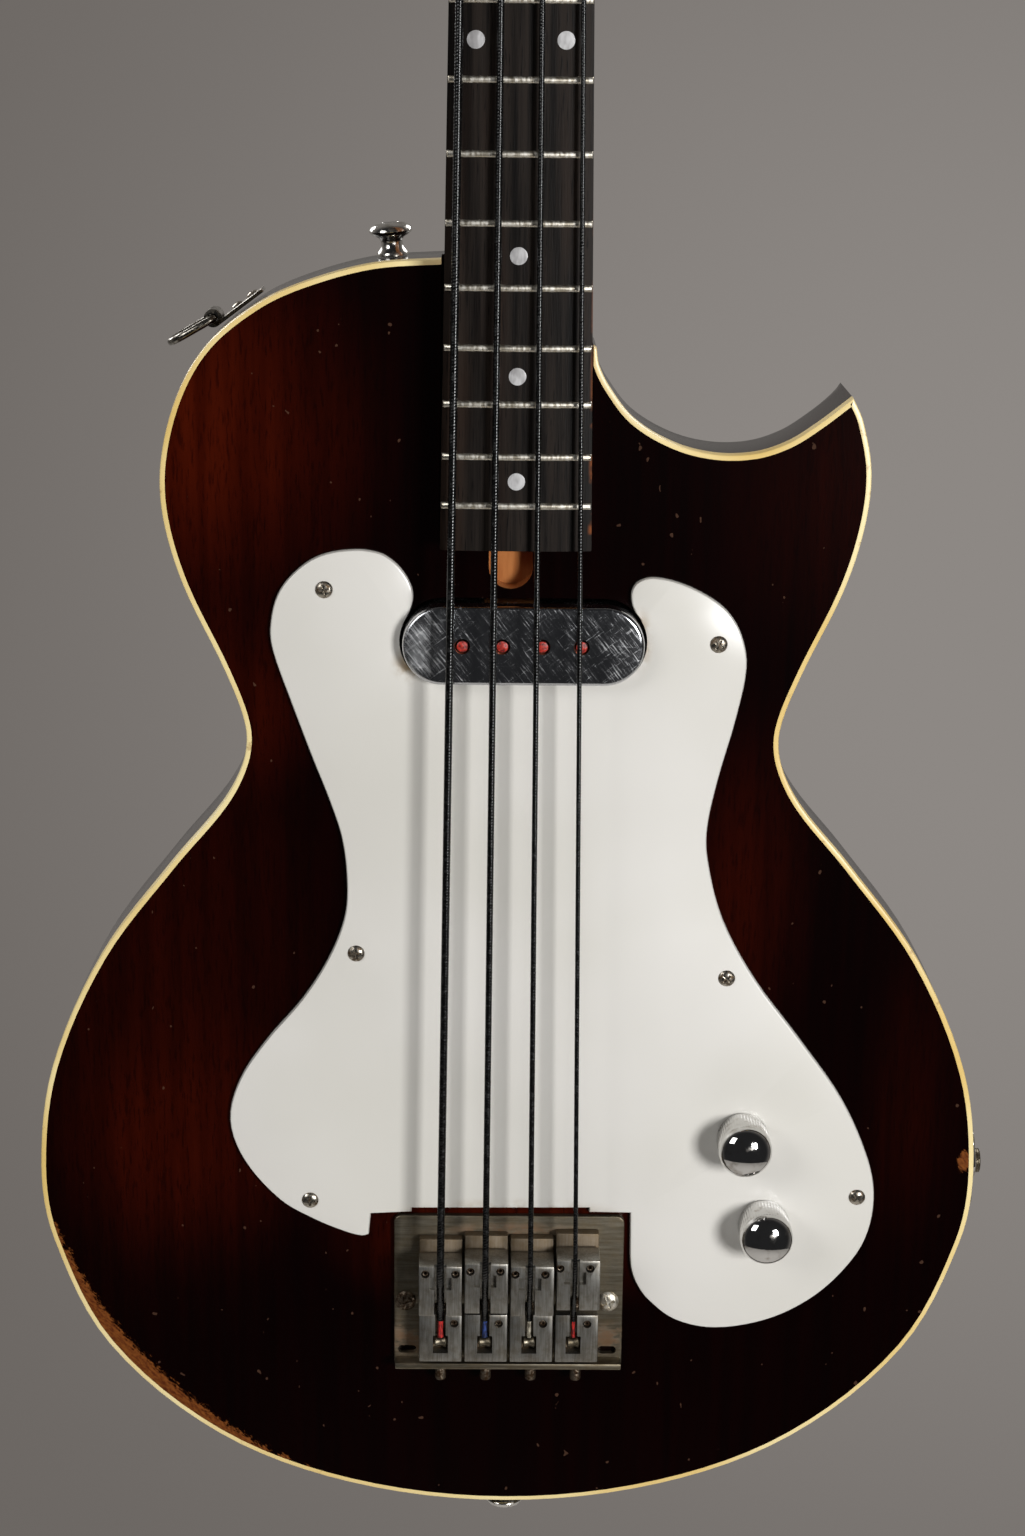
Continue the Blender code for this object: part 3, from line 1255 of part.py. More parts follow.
jack_y = (BODY_THICKNESS + BINDING_DEPTH) / 2
flat_x = BODY_HALF_WIDTH - JACK_FLAT
half, half_across = JACK_PLATE_LENGTH / 2, JACK_PLATE_WIDTH / 2
flat = (
    (flat_x, jack_y - half_across - 1, JACK_Z - half - 1),
    (BODY_HALF_WIDTH + 5, jack_y + half_across + 1, JACK_Z + half + 1),
)
cut(body, box("jack_flat", *flat))
cut(body_binding, box("jack_flat_in_binding", *flat))
jack_in = flat_x + GAP
jack_out = jack_in + JACK_PLATE_THICKNESS
jack_plate = loft(
    "jack_plate",
    [
        [
            (x, jack_y + across, JACK_Z + up)
            for across, up in round_rectangle(-half_across, half_across, -half, half, 5, 3)
        ]
        for x in (jack_in, jack_out)
    ],
    CHROME,
)
for side in (-1, 1):
    z = JACK_Z + side * (half - 3.2)
    name = f"jack_screw_{side}"
    head = (jack_out - 0.4, jack_y, z), (jack_out + 1.3, jack_y, z)
    shank = (jack_out, jack_y, z), (flat_x - JACK_SCREW_DEPTH, jack_y, z)
    fuse(
        jack_plate,
        rod(name + "_head", *head, JACK_SCREW_HEAD_RADIUS, sides=12),
        rod(name, *shank, JACK_SCREW_RADIUS, sides=8),
    )
    hole = (flat_x + 1, jack_y, z), (flat_x - JACK_SCREW_DEPTH - GAP, jack_y, z)
    cut(body, rod(name + "_hole", *hole, JACK_SCREW_RADIUS + GAP, sides=8))
hole = (HOLLOW_RIGHT - 5, jack_y, JACK_Z), (flat_x + 2, jack_y, JACK_Z)
cut(body, rod("jack_hole", *hole, JACK_HOLE_RADIUS, sides=20))
hole = (jack_in - 1, jack_y, JACK_Z), (jack_out + 1, jack_y, JACK_Z)
cut(jack_plate, rod("jack_plate_hole", *hole, JACK_BUSHING_RADIUS + GAP, sides=16))
jack_profile = [
    (JACK_BORE_RADIUS, 4.2), (JACK_BUSHING_RADIUS, 4.2), (JACK_BUSHING_RADIUS, 2.4), (6.6, 2.4), (6.6, GAP),
    (JACK_BUSHING_RADIUS, GAP), (JACK_BUSHING_RADIUS, -JACK_PLATE_THICKNESS - GAP),
    (JACK_BARREL_RADIUS, -JACK_PLATE_THICKNESS - GAP), (JACK_BARREL_RADIUS, -JACK_LENGTH),
    (JACK_BORE_RADIUS, -JACK_LENGTH),
]
turned("output_jack", jack_profile, (jack_out, jack_y, JACK_Z), (1, 0, 0), NICKEL, 12)

# Wiring: the tone capacitor lies behind its pot, and a lead runs from the pickup through a drilled hole
# to the pots and on to the jack.
CAPACITOR_RADIUS = 3.5
CAPACITOR_LENGTH = 14.0
LEAD_RADIUS = 1.4
LEAD_HOLE_RADIUS = 3.0
LEAD_STEPS = 3

tone_x, tone_z = CONTROL_PLACES["tone"]
volume_x, volume_z = CONTROL_PLACES["volume"]
pot_back = pot_front + POT_DEPTH
capacitor_y = pot_back + GAP + CAPACITOR_RADIUS
capacitor_ends = [(tone_x + side * CAPACITOR_LENGTH / 2, capacitor_y, tone_z) for side in (-1, 1)]
rod("tone_capacitor", *capacitor_ends, CAPACITOR_RADIUS, RESIN, 12)

lead_y = pickup_back + GAP + LEAD_RADIUS
lead_x = PICKUP_X + pickup_half_length - LEAD_ROOM / 2
hole_start = Vector((lead_x + 3, lead_y + 0.6, pickup_low + 1))
hole_end = Vector((volume_x - 5, pot_back + 5, hollow_high - 4))
cut(body, rod("lead_hole", hole_start, hole_end, LEAD_HOLE_RADIUS, sides=12))
lead_knots = [
    Vector((lead_x, lead_y, PICKUP_Z)),
    Vector((lead_x + 1.2, lead_y, PICKUP_Z - 7)),
    hole_start,
    hole_start.lerp(hole_end, 0.5),
    hole_end,
    Vector((volume_x, pot_back + 3, volume_z)),
    Vector((volume_x + 14, jack_y, (volume_z + JACK_Z) / 2 + 2)),
    Vector((HOLLOW_RIGHT, jack_y, JACK_Z + 6)),
    Vector((jack_out - JACK_LENGTH - GAP, jack_y, JACK_Z + 6)),
]
lead_points = []
for i in range(len(lead_knots) - 1):
    near, far = lead_knots[i], lead_knots[i + 1]
    lean_near = (far - lead_knots[max(i - 1, 0)]).normalized()
    lean_far = (lead_knots[min(i + 2, len(lead_knots) - 1)] - near).normalized()
    reach = (far - near).length / 3
    stretch = interpolate_bezier(
        near, near + lean_near * reach, far - lean_far * reach, far, LEAD_STEPS + 1
    )
    lead_points.extend(stretch[:-1])
lead_points.append(lead_knots[-1])
tube("wiring_harness", lead_points, LEAD_RADIUS, CLOTH, detail=1)
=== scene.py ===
"""Electric bass guitar, upright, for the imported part: each piece with its form, its finish and its body.

Sizes are in millimetres from the bridge's scale line: x to the viewer's right, y from the body's face
into it, z up the neck. TO_METRES turns them into the frame's metres.
"""

from math import cos, pi, radians, sin, sqrt

import bmesh
import bpy
from mathutils import Matrix, Vector
from mathutils.geometry import interpolate_bezier


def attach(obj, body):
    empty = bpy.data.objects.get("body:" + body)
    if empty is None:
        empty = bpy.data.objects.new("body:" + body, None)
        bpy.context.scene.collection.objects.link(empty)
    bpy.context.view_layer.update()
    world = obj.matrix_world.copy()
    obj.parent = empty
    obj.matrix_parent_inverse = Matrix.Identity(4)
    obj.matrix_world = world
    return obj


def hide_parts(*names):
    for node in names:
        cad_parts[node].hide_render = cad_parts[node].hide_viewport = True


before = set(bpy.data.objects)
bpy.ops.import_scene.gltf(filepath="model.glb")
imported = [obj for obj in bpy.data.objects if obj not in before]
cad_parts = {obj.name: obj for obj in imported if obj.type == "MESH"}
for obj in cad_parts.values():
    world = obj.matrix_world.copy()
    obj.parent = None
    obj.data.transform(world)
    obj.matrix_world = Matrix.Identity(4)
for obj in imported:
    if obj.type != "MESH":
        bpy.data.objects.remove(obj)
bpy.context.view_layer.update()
scene = bpy.context.scene

# Studio: the instrument hangs in front of a warm grey backdrop, far above a pale round floor. A large
# soft lamp stands to the front right, a weaker one to the left, and two light it from behind.
VIEW_RIGHT = Vector((0.9999, -0.00966, 0.01049))
VIEW_UP = Vector((-0.00741, 0.27628, 0.96105))
VIEW_AHEAD = Vector((0.01218, 0.96103, -0.27618))
CAMERA_PLACE = (-0.01238, -0.96281, -0.39924)
BODY_MIDDLE = (0, 0, -0.8)
WHOLE_MIDDLE = (0, 0, -0.5)
FLOOR_LEVEL = -2.4
FLOOR_RADIUS = 2.0


def placed(name, data):
    """An object in the scene."""
    made = bpy.data.objects.new(name, data)
    scene.collection.objects.link(made)
    return made


camera = placed("camera", bpy.data.cameras.new("camera"))
camera.data.lens = 65.6
camera.data.sensor_width = 36
camera.data.clip_start = 0.01
facing = Matrix((VIEW_RIGHT, VIEW_UP, -VIEW_AHEAD)).transposed().to_4x4()
camera.matrix_world = Matrix.Translation(CAMERA_PLACE) @ facing
scene.camera = camera
scene.view_settings.view_transform = "Standard"
world = bpy.data.worlds.new("studio")
scene.world = world
world.use_nodes = True


def soft_lamp(name, place, aim, width, height, watts):
    data = bpy.data.lights.new(name, "AREA")
    data.shape = "RECTANGLE"
    data.size = width
    data.size_y = height
    data.energy = watts
    lamp = placed(name, data)
    lamp.location = place
    lamp.rotation_euler = (Vector(aim) - Vector(place)).to_track_quat("-Z", "Y").to_euler()


soft_lamp("key_lamp", (0.94, -1.58, -0.5), BODY_MIDDLE, 0.42, 0.5, 30)
soft_lamp("fill_lamp", (-1.4, -1.3, 0.3), BODY_MIDDLE, 0.9, 0.9, 15)
soft_lamp("back_right_lamp", (1.5, 1.7, 0.6), WHOLE_MIDDLE, 1.0, 1.0, 26)
soft_lamp("back_left_lamp", (-1.5, 1.7, 0.3), WHOLE_MIDDLE, 1.0, 1.0, 26)


def linear(screen_color):
    """A colour as it is read from a screen, out of 255, as the shader takes it."""
    shares = []
    for value in screen_color:
        share = value / 255
        shares.append(share / 12.92 if share <= 0.04045 else ((share + 0.055) / 1.055) ** 2.4)
    return (*shares, 1)


def new_finish(name, color, roughness, metallic=0.0, **plain):
    """A material, its shader, and its surface coordinates in metres."""
    material = bpy.data.materials.new(name)
    material.use_nodes = True
    nodes = material.node_tree.nodes
    shader = nodes["Principled BSDF"]
    plain.update({"Base_Color": linear(color), "Roughness": roughness, "Metallic": metallic})
    for key, value in plain.items():
        shader.inputs[key.replace("_", " ")].default_value = value
    return material, shader, nodes.new("ShaderNodeTexCoord").outputs["Object"]


def step(source, kind, inputs, **settings):
    """One shader node in the source's tree. Its inputs are plain values or other nodes' outputs."""
    tree = source.id_data
    made = tree.nodes.new("ShaderNode" + kind)
    for key, value in settings.items():
        setattr(made, key, value)
    for key, value in inputs.items():
        if isinstance(value, bpy.types.NodeSocket):
            tree.links.new(value, made.inputs[key])
        else:
            made.inputs[key].default_value = value
    return made


def noise(spot, scale, detail=3.0, stretch=(1, 1, 1), rough=0.55):
    """Even noise from 0 to 1, with so many lumps a metre along each way."""
    sized = step(spot, "Mapping", {"Vector": spot, "Scale": [scale * way for way in stretch]})
    inputs = {"Vector": sized.outputs[0], "Scale": 1.0, "Detail": detail, "Roughness": rough}
    return step(spot, "TexNoise", inputs).outputs[0]


def between(value, low, high, to_low=0.0, to_high=1.0):
    wanted = {"Value": value, "From Min": low, "From Max": high, "To Min": to_low, "To Max": to_high}
    return step(value, "MapRange", wanted, interpolation_type="SMOOTHSTEP").outputs[0]


def coordinate(vector, axis):
    return step(vector, "SeparateXYZ", {"Vector": vector}).outputs[axis]


def times(first, second):
    return step(first, "Math", {0: first, 1: second}, operation="MULTIPLY", use_clamp=True).outputs[0]


def plus(first, second):
    return step(first, "Math", {0: first, 1: second}, operation="ADD", use_clamp=True).outputs[0]


def mixed(share, *colors):
    """One colour turning into another. Each is a screen colour or another node's output."""
    first, second = (color if isinstance(color, bpy.types.NodeSocket) else linear(color) for color in colors)
    return step(share, "Mix", {0: share, 6: first, 7: second}, data_type="RGBA").outputs[2]


def dress(shader, color, roughness=None):
    """Lets the color vary over the surface, and the roughness too where it is given."""
    links = shader.id_data.links
    links.new(color, shader.inputs["Base Color"])
    if roughness is not None:
        links.new(roughness, shader.inputs["Roughness"])


def relief(shader, height, depth, distance):
    bump = step(shader, "Bump", {"Height": height, "Strength": depth, "Distance": distance})
    shader.id_data.links.new(bump.outputs[0], shader.inputs["Normal"])


studio = world.node_tree
heading = step(studio, "TexCoord", {}).outputs["Generated"]
surround = mixed(between(coordinate(heading, "Y"), -0.35, 0.55), (40.82, 40.82, 41.85), (136, 132, 128))
# Camera rays see the warm grey backdrop with a painted pool of light a little right of and below the middle,
# and painted darker round it.
painted_light_pool = step(heading, "VectorMath", {0: heading, 1: (0.2, 0.95, -0.22)}, operation="SUBTRACT").outputs[0]
painted_light_pool = step(painted_light_pool, "VectorMath", {0: painted_light_pool}, operation="LENGTH").outputs["Value"]
wall = mixed(between(painted_light_pool, 0.05, 0.5), (141, 136, 132), (107, 102, 98))
seen = step(studio, "LightPath", {}).outputs["Is Camera Ray"]
studio.links.new(mixed(seen, surround, wall), studio.nodes["Background"].inputs["Color"])

floor_paint, shader, spot = new_finish("pale_floor_paint", (226, 222, 216), 0.7)
dress(shader, mixed(noise(spot, 6), (222, 218, 212), (230, 226, 221)))
mesh = bpy.data.meshes.new("floor")
turns = [radians(turn) for turn in range(0, 360, 3)]
rim = [FLOOR_RADIUS * Vector((cos(turn), sin(turn), 0)) for turn in turns]
mesh.from_pydata([(point.x, point.y, FLOOR_LEVEL) for point in rim], [], [range(len(rim))])
mesh.materials.append(floor_paint)
floor = placed("floor", mesh)

# Body: one slab of mahogany, sawn to outline, with a rounded back edge, stained dark red-brown and
# lacquered. Patches of painted light make the stain lighter and show its grain, most at the left, and
# the lacquer is worn through along the lower left edge.
BODY_THICKNESS = 38.0
BACK_ROUND = 10.0
BINDING_WIDTH = 1.9
BINDING_DEPTH = 5.0
TO_METRES = Matrix.Translation((0, 0.0102, -0.8681)) @ Matrix.Scale(0.001, 4)
LOWER_BOUT = (
    (0, -109), (60.5, -101.3), (111, -80.1), (152.4, -42), (172.2, 2), (175.97, 32),
    (170.3, 72), (151, 115.8), (124, 152.2), (105, 175.3), (97.3, 191), (96.4, 204),
)
LEFT_SHOULDER = (
    (-103.3, 224.2), (-117.7, 255.7), (-124.3, 280), (-124.6, 300), (-118.5, 323), (-107.8, 340.8),
    (-90.3, 355), (-73.6, 362.8), (-50, 369.3), (-24.8, 371.2),
)
RIGHT_SHOULDER = ((103.3, 224.2), (117.2, 255.3), (123.6, 278), (125.2, 298), (121.5, 316))
HORN_TIP = (117.6, 324.4)
CUTAWAY = (
    (105.4, 314.8), (95.4, 308.4), (84, 304.6), (70, 304.2), (55.6, 307.8), (41.4, 316.1),
    (32.5, 327.2), (28.6, 335), (27.6, 341),
)


def smooth_run(knots, steps):
    """Points on one smooth curve through knots, its two ends among them."""
    knots = [Vector((x, z, 0)) for x, z in knots]
    leans = []
    for i in range(len(knots)):
        before, after = knots[max(i - 1, 0)], knots[min(i + 1, len(knots) - 1)]
        leans.append((after - before).normalized())
    run = []
    for i in range(len(knots) - 1):
        near, far = knots[i], knots[i + 1]
        reach = (far - near).length / 3
        bend = interpolate_bezier(near, near + leans[i] * reach, far - leans[i + 1] * reach, far, steps + 1)
        run.extend((point.x, point.y) for point in bend[:-1])
    run.append((knots[-1].x, knots[-1].y))
    return run


def inset(outline, depths):
    """The outline moved inwards, by one depth or by a depth for each point."""
    points = [Vector(point) for point in outline]
    count = len(points)
    if not isinstance(depths, list):
        depths = [depths] * count
    area = sum(points[i].cross(points[(i + 1) % count]) for i in range(count))
    side = 1 if area > 0 else -1
    moved = []
    for i, depth in enumerate(depths):
        before = (points[i] - points[i - 1]).normalized()
        after = (points[(i + 1) % count] - points[i]).normalized()
        normals = [Vector((-way.y, way.x)) * side for way in (before, after)]
        middle = (normals[0] + normals[1]).normalized()
        moved.append(tuple(points[i] + middle * depth / max(middle.dot(normals[0]), 0.5)))
    return moved


def mesh_of(shape, name="tool"):
    mesh = bpy.data.meshes.new(name)
    shape.to_mesh(mesh)
    shape.free()
    return mesh


def piece_of(name, shape, paint, node, body="instrument", lean=None, sharp=35):
    """The shape, drawn in millimetres, as a piece that rides on a body and stands for a CAD node."""
    bmesh.ops.recalc_face_normals(shape, faces=shape.faces)
    mesh = mesh_of(shape, name)
    if lean:
        mesh.transform(lean)
    mesh.transform(TO_METRES)
    mesh.materials.append(paint)
    mesh.shade_smooth()
    mesh.set_sharp_from_angle(angle=radians(sharp))
    piece = placed(name, mesh)
    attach(piece, body)
    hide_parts(node)
    return piece


def ringed(rings, open_ends=False):
    """A shape through closed rings that have as many points each, its ends closed or joined."""
    shape = bmesh.new()
    loops = [[shape.verts.new(point) for point in ring] for ring in rings]
    for lower, upper in zip(loops, loops[1:] + loops[:1] if open_ends else loops[1:]):
        for i in range(len(lower)):
            j = (i + 1) % len(lower)
            shape.faces.new((lower[i], lower[j], upper[j], upper[i]))
    if not open_ends:
        shape.faces.new(loops[0])
        shape.faces.new(loops[-1])
    return shape


def at_depth(outline, y):
    return [(x, y, z) for x, z in outline]


def slab(outline, front, back, edge=0.0, back_edge=0.0, steps=3):
    """A flat outline with thickness, its front and back edges rounded."""
    rings = []
    for face, radius, way in ((front, edge, 1), (back, back_edge, -1)):
        rounding = []
        for turn in range(steps + 1 if radius else 1):
            angle = pi / 2 * turn / steps
            ring = inset(outline, radius * (1 - sin(angle))) if radius else outline
            rounding.append(at_depth(ring, face + way * radius * (1 - cos(angle))))
        rings += rounding[::way]
    return ringed(rings)


def shaped(piece, operation, tools):
    """Cuts or joins plain shapes with a piece, and keeps the result as its mesh."""
    for tool in tools:
        bmesh.ops.recalc_face_normals(tool, faces=tool.faces)
        mesh = mesh_of(tool)
        mesh.transform(TO_METRES)
        piece.modifiers.new("triangles", "TRIANGULATE")
        made = piece.modifiers.new("shape", "BOOLEAN")
        made.operation = operation
        made.object = placed("tool", mesh)
    bpy.context.view_layer.update()
    mesh = bpy.data.meshes.new_from_object(piece.evaluated_get(bpy.context.evaluated_depsgraph_get()))
    for made in list(piece.modifiers):
        if made.type == "BOOLEAN":
            bpy.data.objects.remove(made.object)
        piece.modifiers.remove(made)
    mesh.shade_smooth()
    mesh.set_sharp_from_angle(angle=radians(35))
    piece.data = mesh


def cut(piece, *tools):
    shaped(piece, "DIFFERENCE", tools)


def join(piece, *tools):
    shaped(piece, "UNION", tools)


def bar(low, high):
    """A plain box between two corners."""
    low, high = Vector(low), Vector(high)
    shape = bmesh.new()
    place = Matrix.Translation((low + high) / 2) @ Matrix.Diagonal((*(high - low), 1))
    bmesh.ops.create_cube(shape, size=1, matrix=place)
    return shape


def towards(axis):
    """The turn that points a shape's z along an axis."""
    return Vector(axis).to_track_quat("Z", "Y").to_matrix().to_4x4()


def round_bar(start, end, radius, sides=24):
    """A round bar from one point to another."""
    start, end = Vector(start), Vector(end)
    along = end - start
    shape = bmesh.new()
    place = Matrix.Translation((start + end) / 2) @ towards(along)
    bmesh.ops.create_cone(
        shape, cap_ends=True, segments=sides, radius1=radius, radius2=radius, depth=along.length, matrix=place
    )
    return shape


def bore(x, z, front, back, radius, sides=24):
    """A round bar straight into the face."""
    return round_bar((x, front, z), (x, back, z), radius, sides)


def round_rectangle(left, right, low, high, radius, steps=6):
    outline = []
    centres = ((right, high), (left, high), (left, low), (right, low))
    for quarter, (x, z) in enumerate(centres):
        centre_x = x - radius if x == right else x + radius
        centre_z = z - radius if z == high else z + radius
        for turn in range(steps + 1):
            angle = (quarter + turn / steps) * pi / 2
            outline.append((centre_x + radius * cos(angle), centre_z + radius * sin(angle)))
    return outline


over_centre = ((-60.5, -101.3),) + LOWER_BOUT
lower_right = smooth_run(over_centre + RIGHT_SHOULDER + (HORN_TIP,), 6)[6:]
lower_left = smooth_run(over_centre + tuple((-x, z) for x, z in LEFT_SHOULDER), 6)[6:]
outline = [(-x, z) for x, z in reversed(lower_left)][:-1] + lower_right[:-1]
outline += smooth_run((HORN_TIP,) + CUTAWAY, 6)


def patch(spot, centre, half, soft):
    """1 inside an upright ellipse on the face, falling to 0 at its edge."""
    near = TO_METRES @ Vector((centre[0], 0, centre[1]))
    moved = step(spot, "VectorMath", {0: spot, 1: tuple(near)}, operation="SUBTRACT").outputs[0]
    shares = (1000 / half[0], 0, 1000 / half[1])
    scaled = step(spot, "VectorMath", {0: moved, 1: shares}, operation="MULTIPLY").outputs[0]
    length = step(spot, "VectorMath", {0: scaled}, operation="LENGTH").outputs["Value"]
    return between(length, 1.0, 1.0 - soft)


def turned(spot, degrees):
    """The same surface coordinates, turned in the plane of the face."""
    return step(spot, "Mapping", {"Vector": spot, "Rotation": (0, radians(degrees), 0)}).outputs[0]


def all_of(shares):
    total = shares[0]
    for share in shares[1:]:
        total = plus(total, share)
    return total


# Patches of painted light on the stain, each given by its centre, half sizes and strength. In them the wood
# is painted lighter and shows its grain, brightest at the left shoulder and around the bridge, weaker on the
# right.
PAINTED_LIGHT_PATCHES = (
    ((-118, 312), (84, 92), 1.0),
    ((-96, 214), (34, 46), 0.42),
    ((-122, 44), (60, 66), 0.44),
    ((-130, 110), (84, 170), 0.26),
    ((118, 290), (56, 74), 0.16),
    ((84, 140), (34, 84), 0.34),
    ((150, 60), (24, 80), 0.16),
    ((0, 6), (80, 44), 1.0),
)
coat = {"Coat_Weight": 0.35, "Coat_Roughness": 0.12, "Specular_IOR_Level": 0.08}
stain, shader, spot = new_finish("stained_lacquered_mahogany", (30, 3, 1), 0.2, **coat)
pores = noise(spot, 1100, 2.0, (1, 0.3, 0.13))
streaks = noise(spot, 210, 4.0, (1, 0.3, 0.045))
painted_light = all_of([times(patch(spot, place, reach, 0.98), weight) for place, reach, weight in PAINTED_LIGHT_PATCHES])
painted_light = times(painted_light, between(noise(spot, 16, 2.0), 0.1, 0.7, 0.7, 1.1))
figure = between(streaks, 0.25, 0.75)
painted_lit_wood = mixed(figure, (48, 7, 0), (66, 15, 2))
painted_lit_wood = mixed(between(pores, 0.5, 0.72, 0.0, 0.6), painted_lit_wood, (22, 1, 0))
# The dark stain turns into the painted lit wood where the painted light falls.
wood = mixed(painted_light, mixed(figure, (5, 0, 0), (10, 0, 0)), painted_lit_wood)
rubbed_edge = [(x, z) for x, z in outline if x < -74 and z < 10]
rubbed = [patch(spot, (-101, 196), (5, 11), 0.8), patch(spot, (172, 36), (4, 7), 0.8)]
for number, place in enumerate(rubbed_edge):
    reach = 5 + 8 * sin(pi * number / (len(rubbed_edge) - 1))
    rubbed.append(patch(spot, place, (reach, reach), 0.95))
ragged = noise(turned(spot, 45), 1000, 5.0, (1, 1, 0.35), 0.8)
rubbed = all_of(rubbed)
worn = plus(times(rubbed, 0.5), times(ragged, 1.1))
worn = times(between(worn, 0.78, 0.92), between(rubbed, 0.02, 0.3))
inside = coordinate(spot, "Y")
worn = times(worn, between(inside, 0.0118, 0.0125, 1, 0))
flecks = between(noise(spot, 330, 1.0, (1, 1, 0.8)), 0.775, 0.79)
bared = mixed(between(ragged, 0.35, 0.65), (88, 38, 12), (134, 76, 30))
wood = mixed(times(worn, 0.85), wood, bared)
wood = mixed(times(flecks, 0.5), wood, (92, 66, 52))
bare = times(patch(spot, (-1.4, 266), (14, 20), 0.1), between(inside, 0.0106, 0.0112))
bare = times(bare, between(inside, 0.022, 0.023, 1, 0))
rings = noise(spot, 500, 3.0, (1, 0.5, 0.12))
wood = mixed(bare, wood, mixed(rings, (206, 140, 84), (150, 84, 42)))
dress(shader, wood, between(worn, 0, 1, 0.2, 0.6))
relief(shader, pores, 0.06, 0.0003)


def limited(depth):
    """The same depth all round, but less near the horn's narrow tip."""
    tip = Vector(HORN_TIP)
    return [min(depth, (Vector(point) - tip).length * 0.4 * depth / BACK_ROUND) for point in outline]


rings = [at_depth(inset(outline, BINDING_WIDTH + 0.1), 0)]
rings.append(at_depth(inset(outline, BINDING_WIDTH + 0.1), BINDING_DEPTH + 0.1))
rings.append(at_depth(outline, BINDING_DEPTH + 0.1))
for turn in range(7):
    angle = pi / 2 * turn / 6
    share = BACK_ROUND * (1 - cos(angle))
    rings.append(at_depth(inset(outline, limited(share)), BODY_THICKNESS - BACK_ROUND * (1 - sin(angle))))
rings.append(at_depth(inset(outline, limited(BACK_ROUND + 1)), BODY_THICKNESS))
body = piece_of("body_wood", ringed(rings), stain, "body")

JACK_Y, JACK_Z = 21.5, 27
JACK_FLAT = 174.8
neck_pocket = ((-26.9, 272.0), (26.9, 272.0), (26.4, 388), (-26.4, 388))
truss_channel = round_rectangle(-9.2, 6.4, 255.4, 280.1, 7.7)
pickup_pocket = round_rectangle(-40.9, 47.5, 221.1, 252.1, 15.5)
control_hollow = round_rectangle(67.6, 127, -8.5, 66.8, 12)
jack_cut = bar((JACK_FLAT, 8, 10.5), (181, 35, 43.5))
cut(
    body,
    slab(neck_pocket, -1, 16.3),
    slab(truss_channel, -1, 9.4),
    slab(pickup_pocket, -1, 13.4),
    slab(control_hollow, -1, 30),
    jack_cut,
    round_bar((122, JACK_Y, JACK_Z), (180, JACK_Y, JACK_Z), 11),
)

# Binding: a strip of cream celluloid glued into a rebate round the front edge and scraped flush. It has
# yellowed, and dirt sits in its joint with the lacquer.
cream, shader, spot = new_finish("aged_cream_celluloid", (236, 212, 148), 0.32)
tint = between(noise(spot, 14, 2.0), 0.3, 0.7)
aged = mixed(tint, (247, 229, 172), (226, 192, 112))
grime = between(noise(spot, 160, 4.0, (1, 1, 1), 0.7), 0.62, 0.74)
dress(shader, mixed(times(grime, 0.5), aged, (140, 92, 44)))
STRIP_SECTION = (
    (BINDING_WIDTH, 0), (0.8, 0), (0.25, 0.2), (0, 0.8), (0, BINDING_DEPTH), (BINDING_WIDTH, BINDING_DEPTH),
)
strip = [at_depth(inset(outline, depth), y) for depth, y in STRIP_SECTION]
binding = piece_of("binding_strip", ringed(strip, True), cream, "body_binding")
cut(binding, slab(neck_pocket, -1, 6), bar((JACK_FLAT, 8.4, 10.5), (181, 35, 43.5)))

# Neck: one piece of maple with a flat face, a half-round back, a square heel in the body's pocket and
# a slanted head of our own plain outline. It is held by four screws through the back.
NUT_HEIGHT = 863.6
NUT_TOP = 868.1
HEAD_LEAN = 11
BOARD_END = 272.3
HEEL_TOP = 368.0
NECK_TOP = -10.2
HEEL_HALF, HEEL_TOP_HALF = 26.6, 25.4
BOARD_HALF, BOARD_TOP_HALF = 26.45, 19
SHAFT_LOW, SHAFT_TOP = 360, 868.6
SHAFT_EDGE = -8.2
ROD_Y = 4
HEAD_KNOTS = (
    (20.5, -3), (22, 6), (31, 24), (38, 46), (39, 80), (37.5, 120), (35, 150), (28, 168), (14, 176), (0, 173),
)
maple, shader, spot = new_finish(
    "aged_lacquered_maple", (176, 116, 60), 0.34, Coat_Weight=0.3, Coat_Roughness=0.15
)
grain = noise(spot, 260, 4.0, (1, 0.6, 0.03))
bands = noise(spot, 45, 2.0, (1, 1, 0.12))
wood = mixed(between(grain, 0.3, 0.7), (196, 134, 72), (150, 90, 42))
wood = mixed(times(between(bands, 0.45, 0.7), 0.4), wood, (122, 66, 30))
smudges = between(noise(spot, 90, 4.0), 0.6, 0.75)
dress(shader, mixed(times(smudges, 0.25), wood, (92, 58, 32)))
relief(shader, grain, 0.05, 0.0003)
HEAD_FACE = -9.4
HEAD = Matrix.Translation((0, HEAD_FACE, NUT_TOP)) @ Matrix.Rotation(radians(-HEAD_LEAN), 4, "X")
head_half = smooth_run(HEAD_KNOTS, 6)
head_outline = head_half + [(-x, z) for x, z in reversed(head_half[:-1])]


def board_half(z):
    """Half the board's width at a height."""
    return BOARD_HALF + (BOARD_TOP_HALF - BOARD_HALF) * (z - BOARD_END) / (NUT_HEIGHT - BOARD_END)


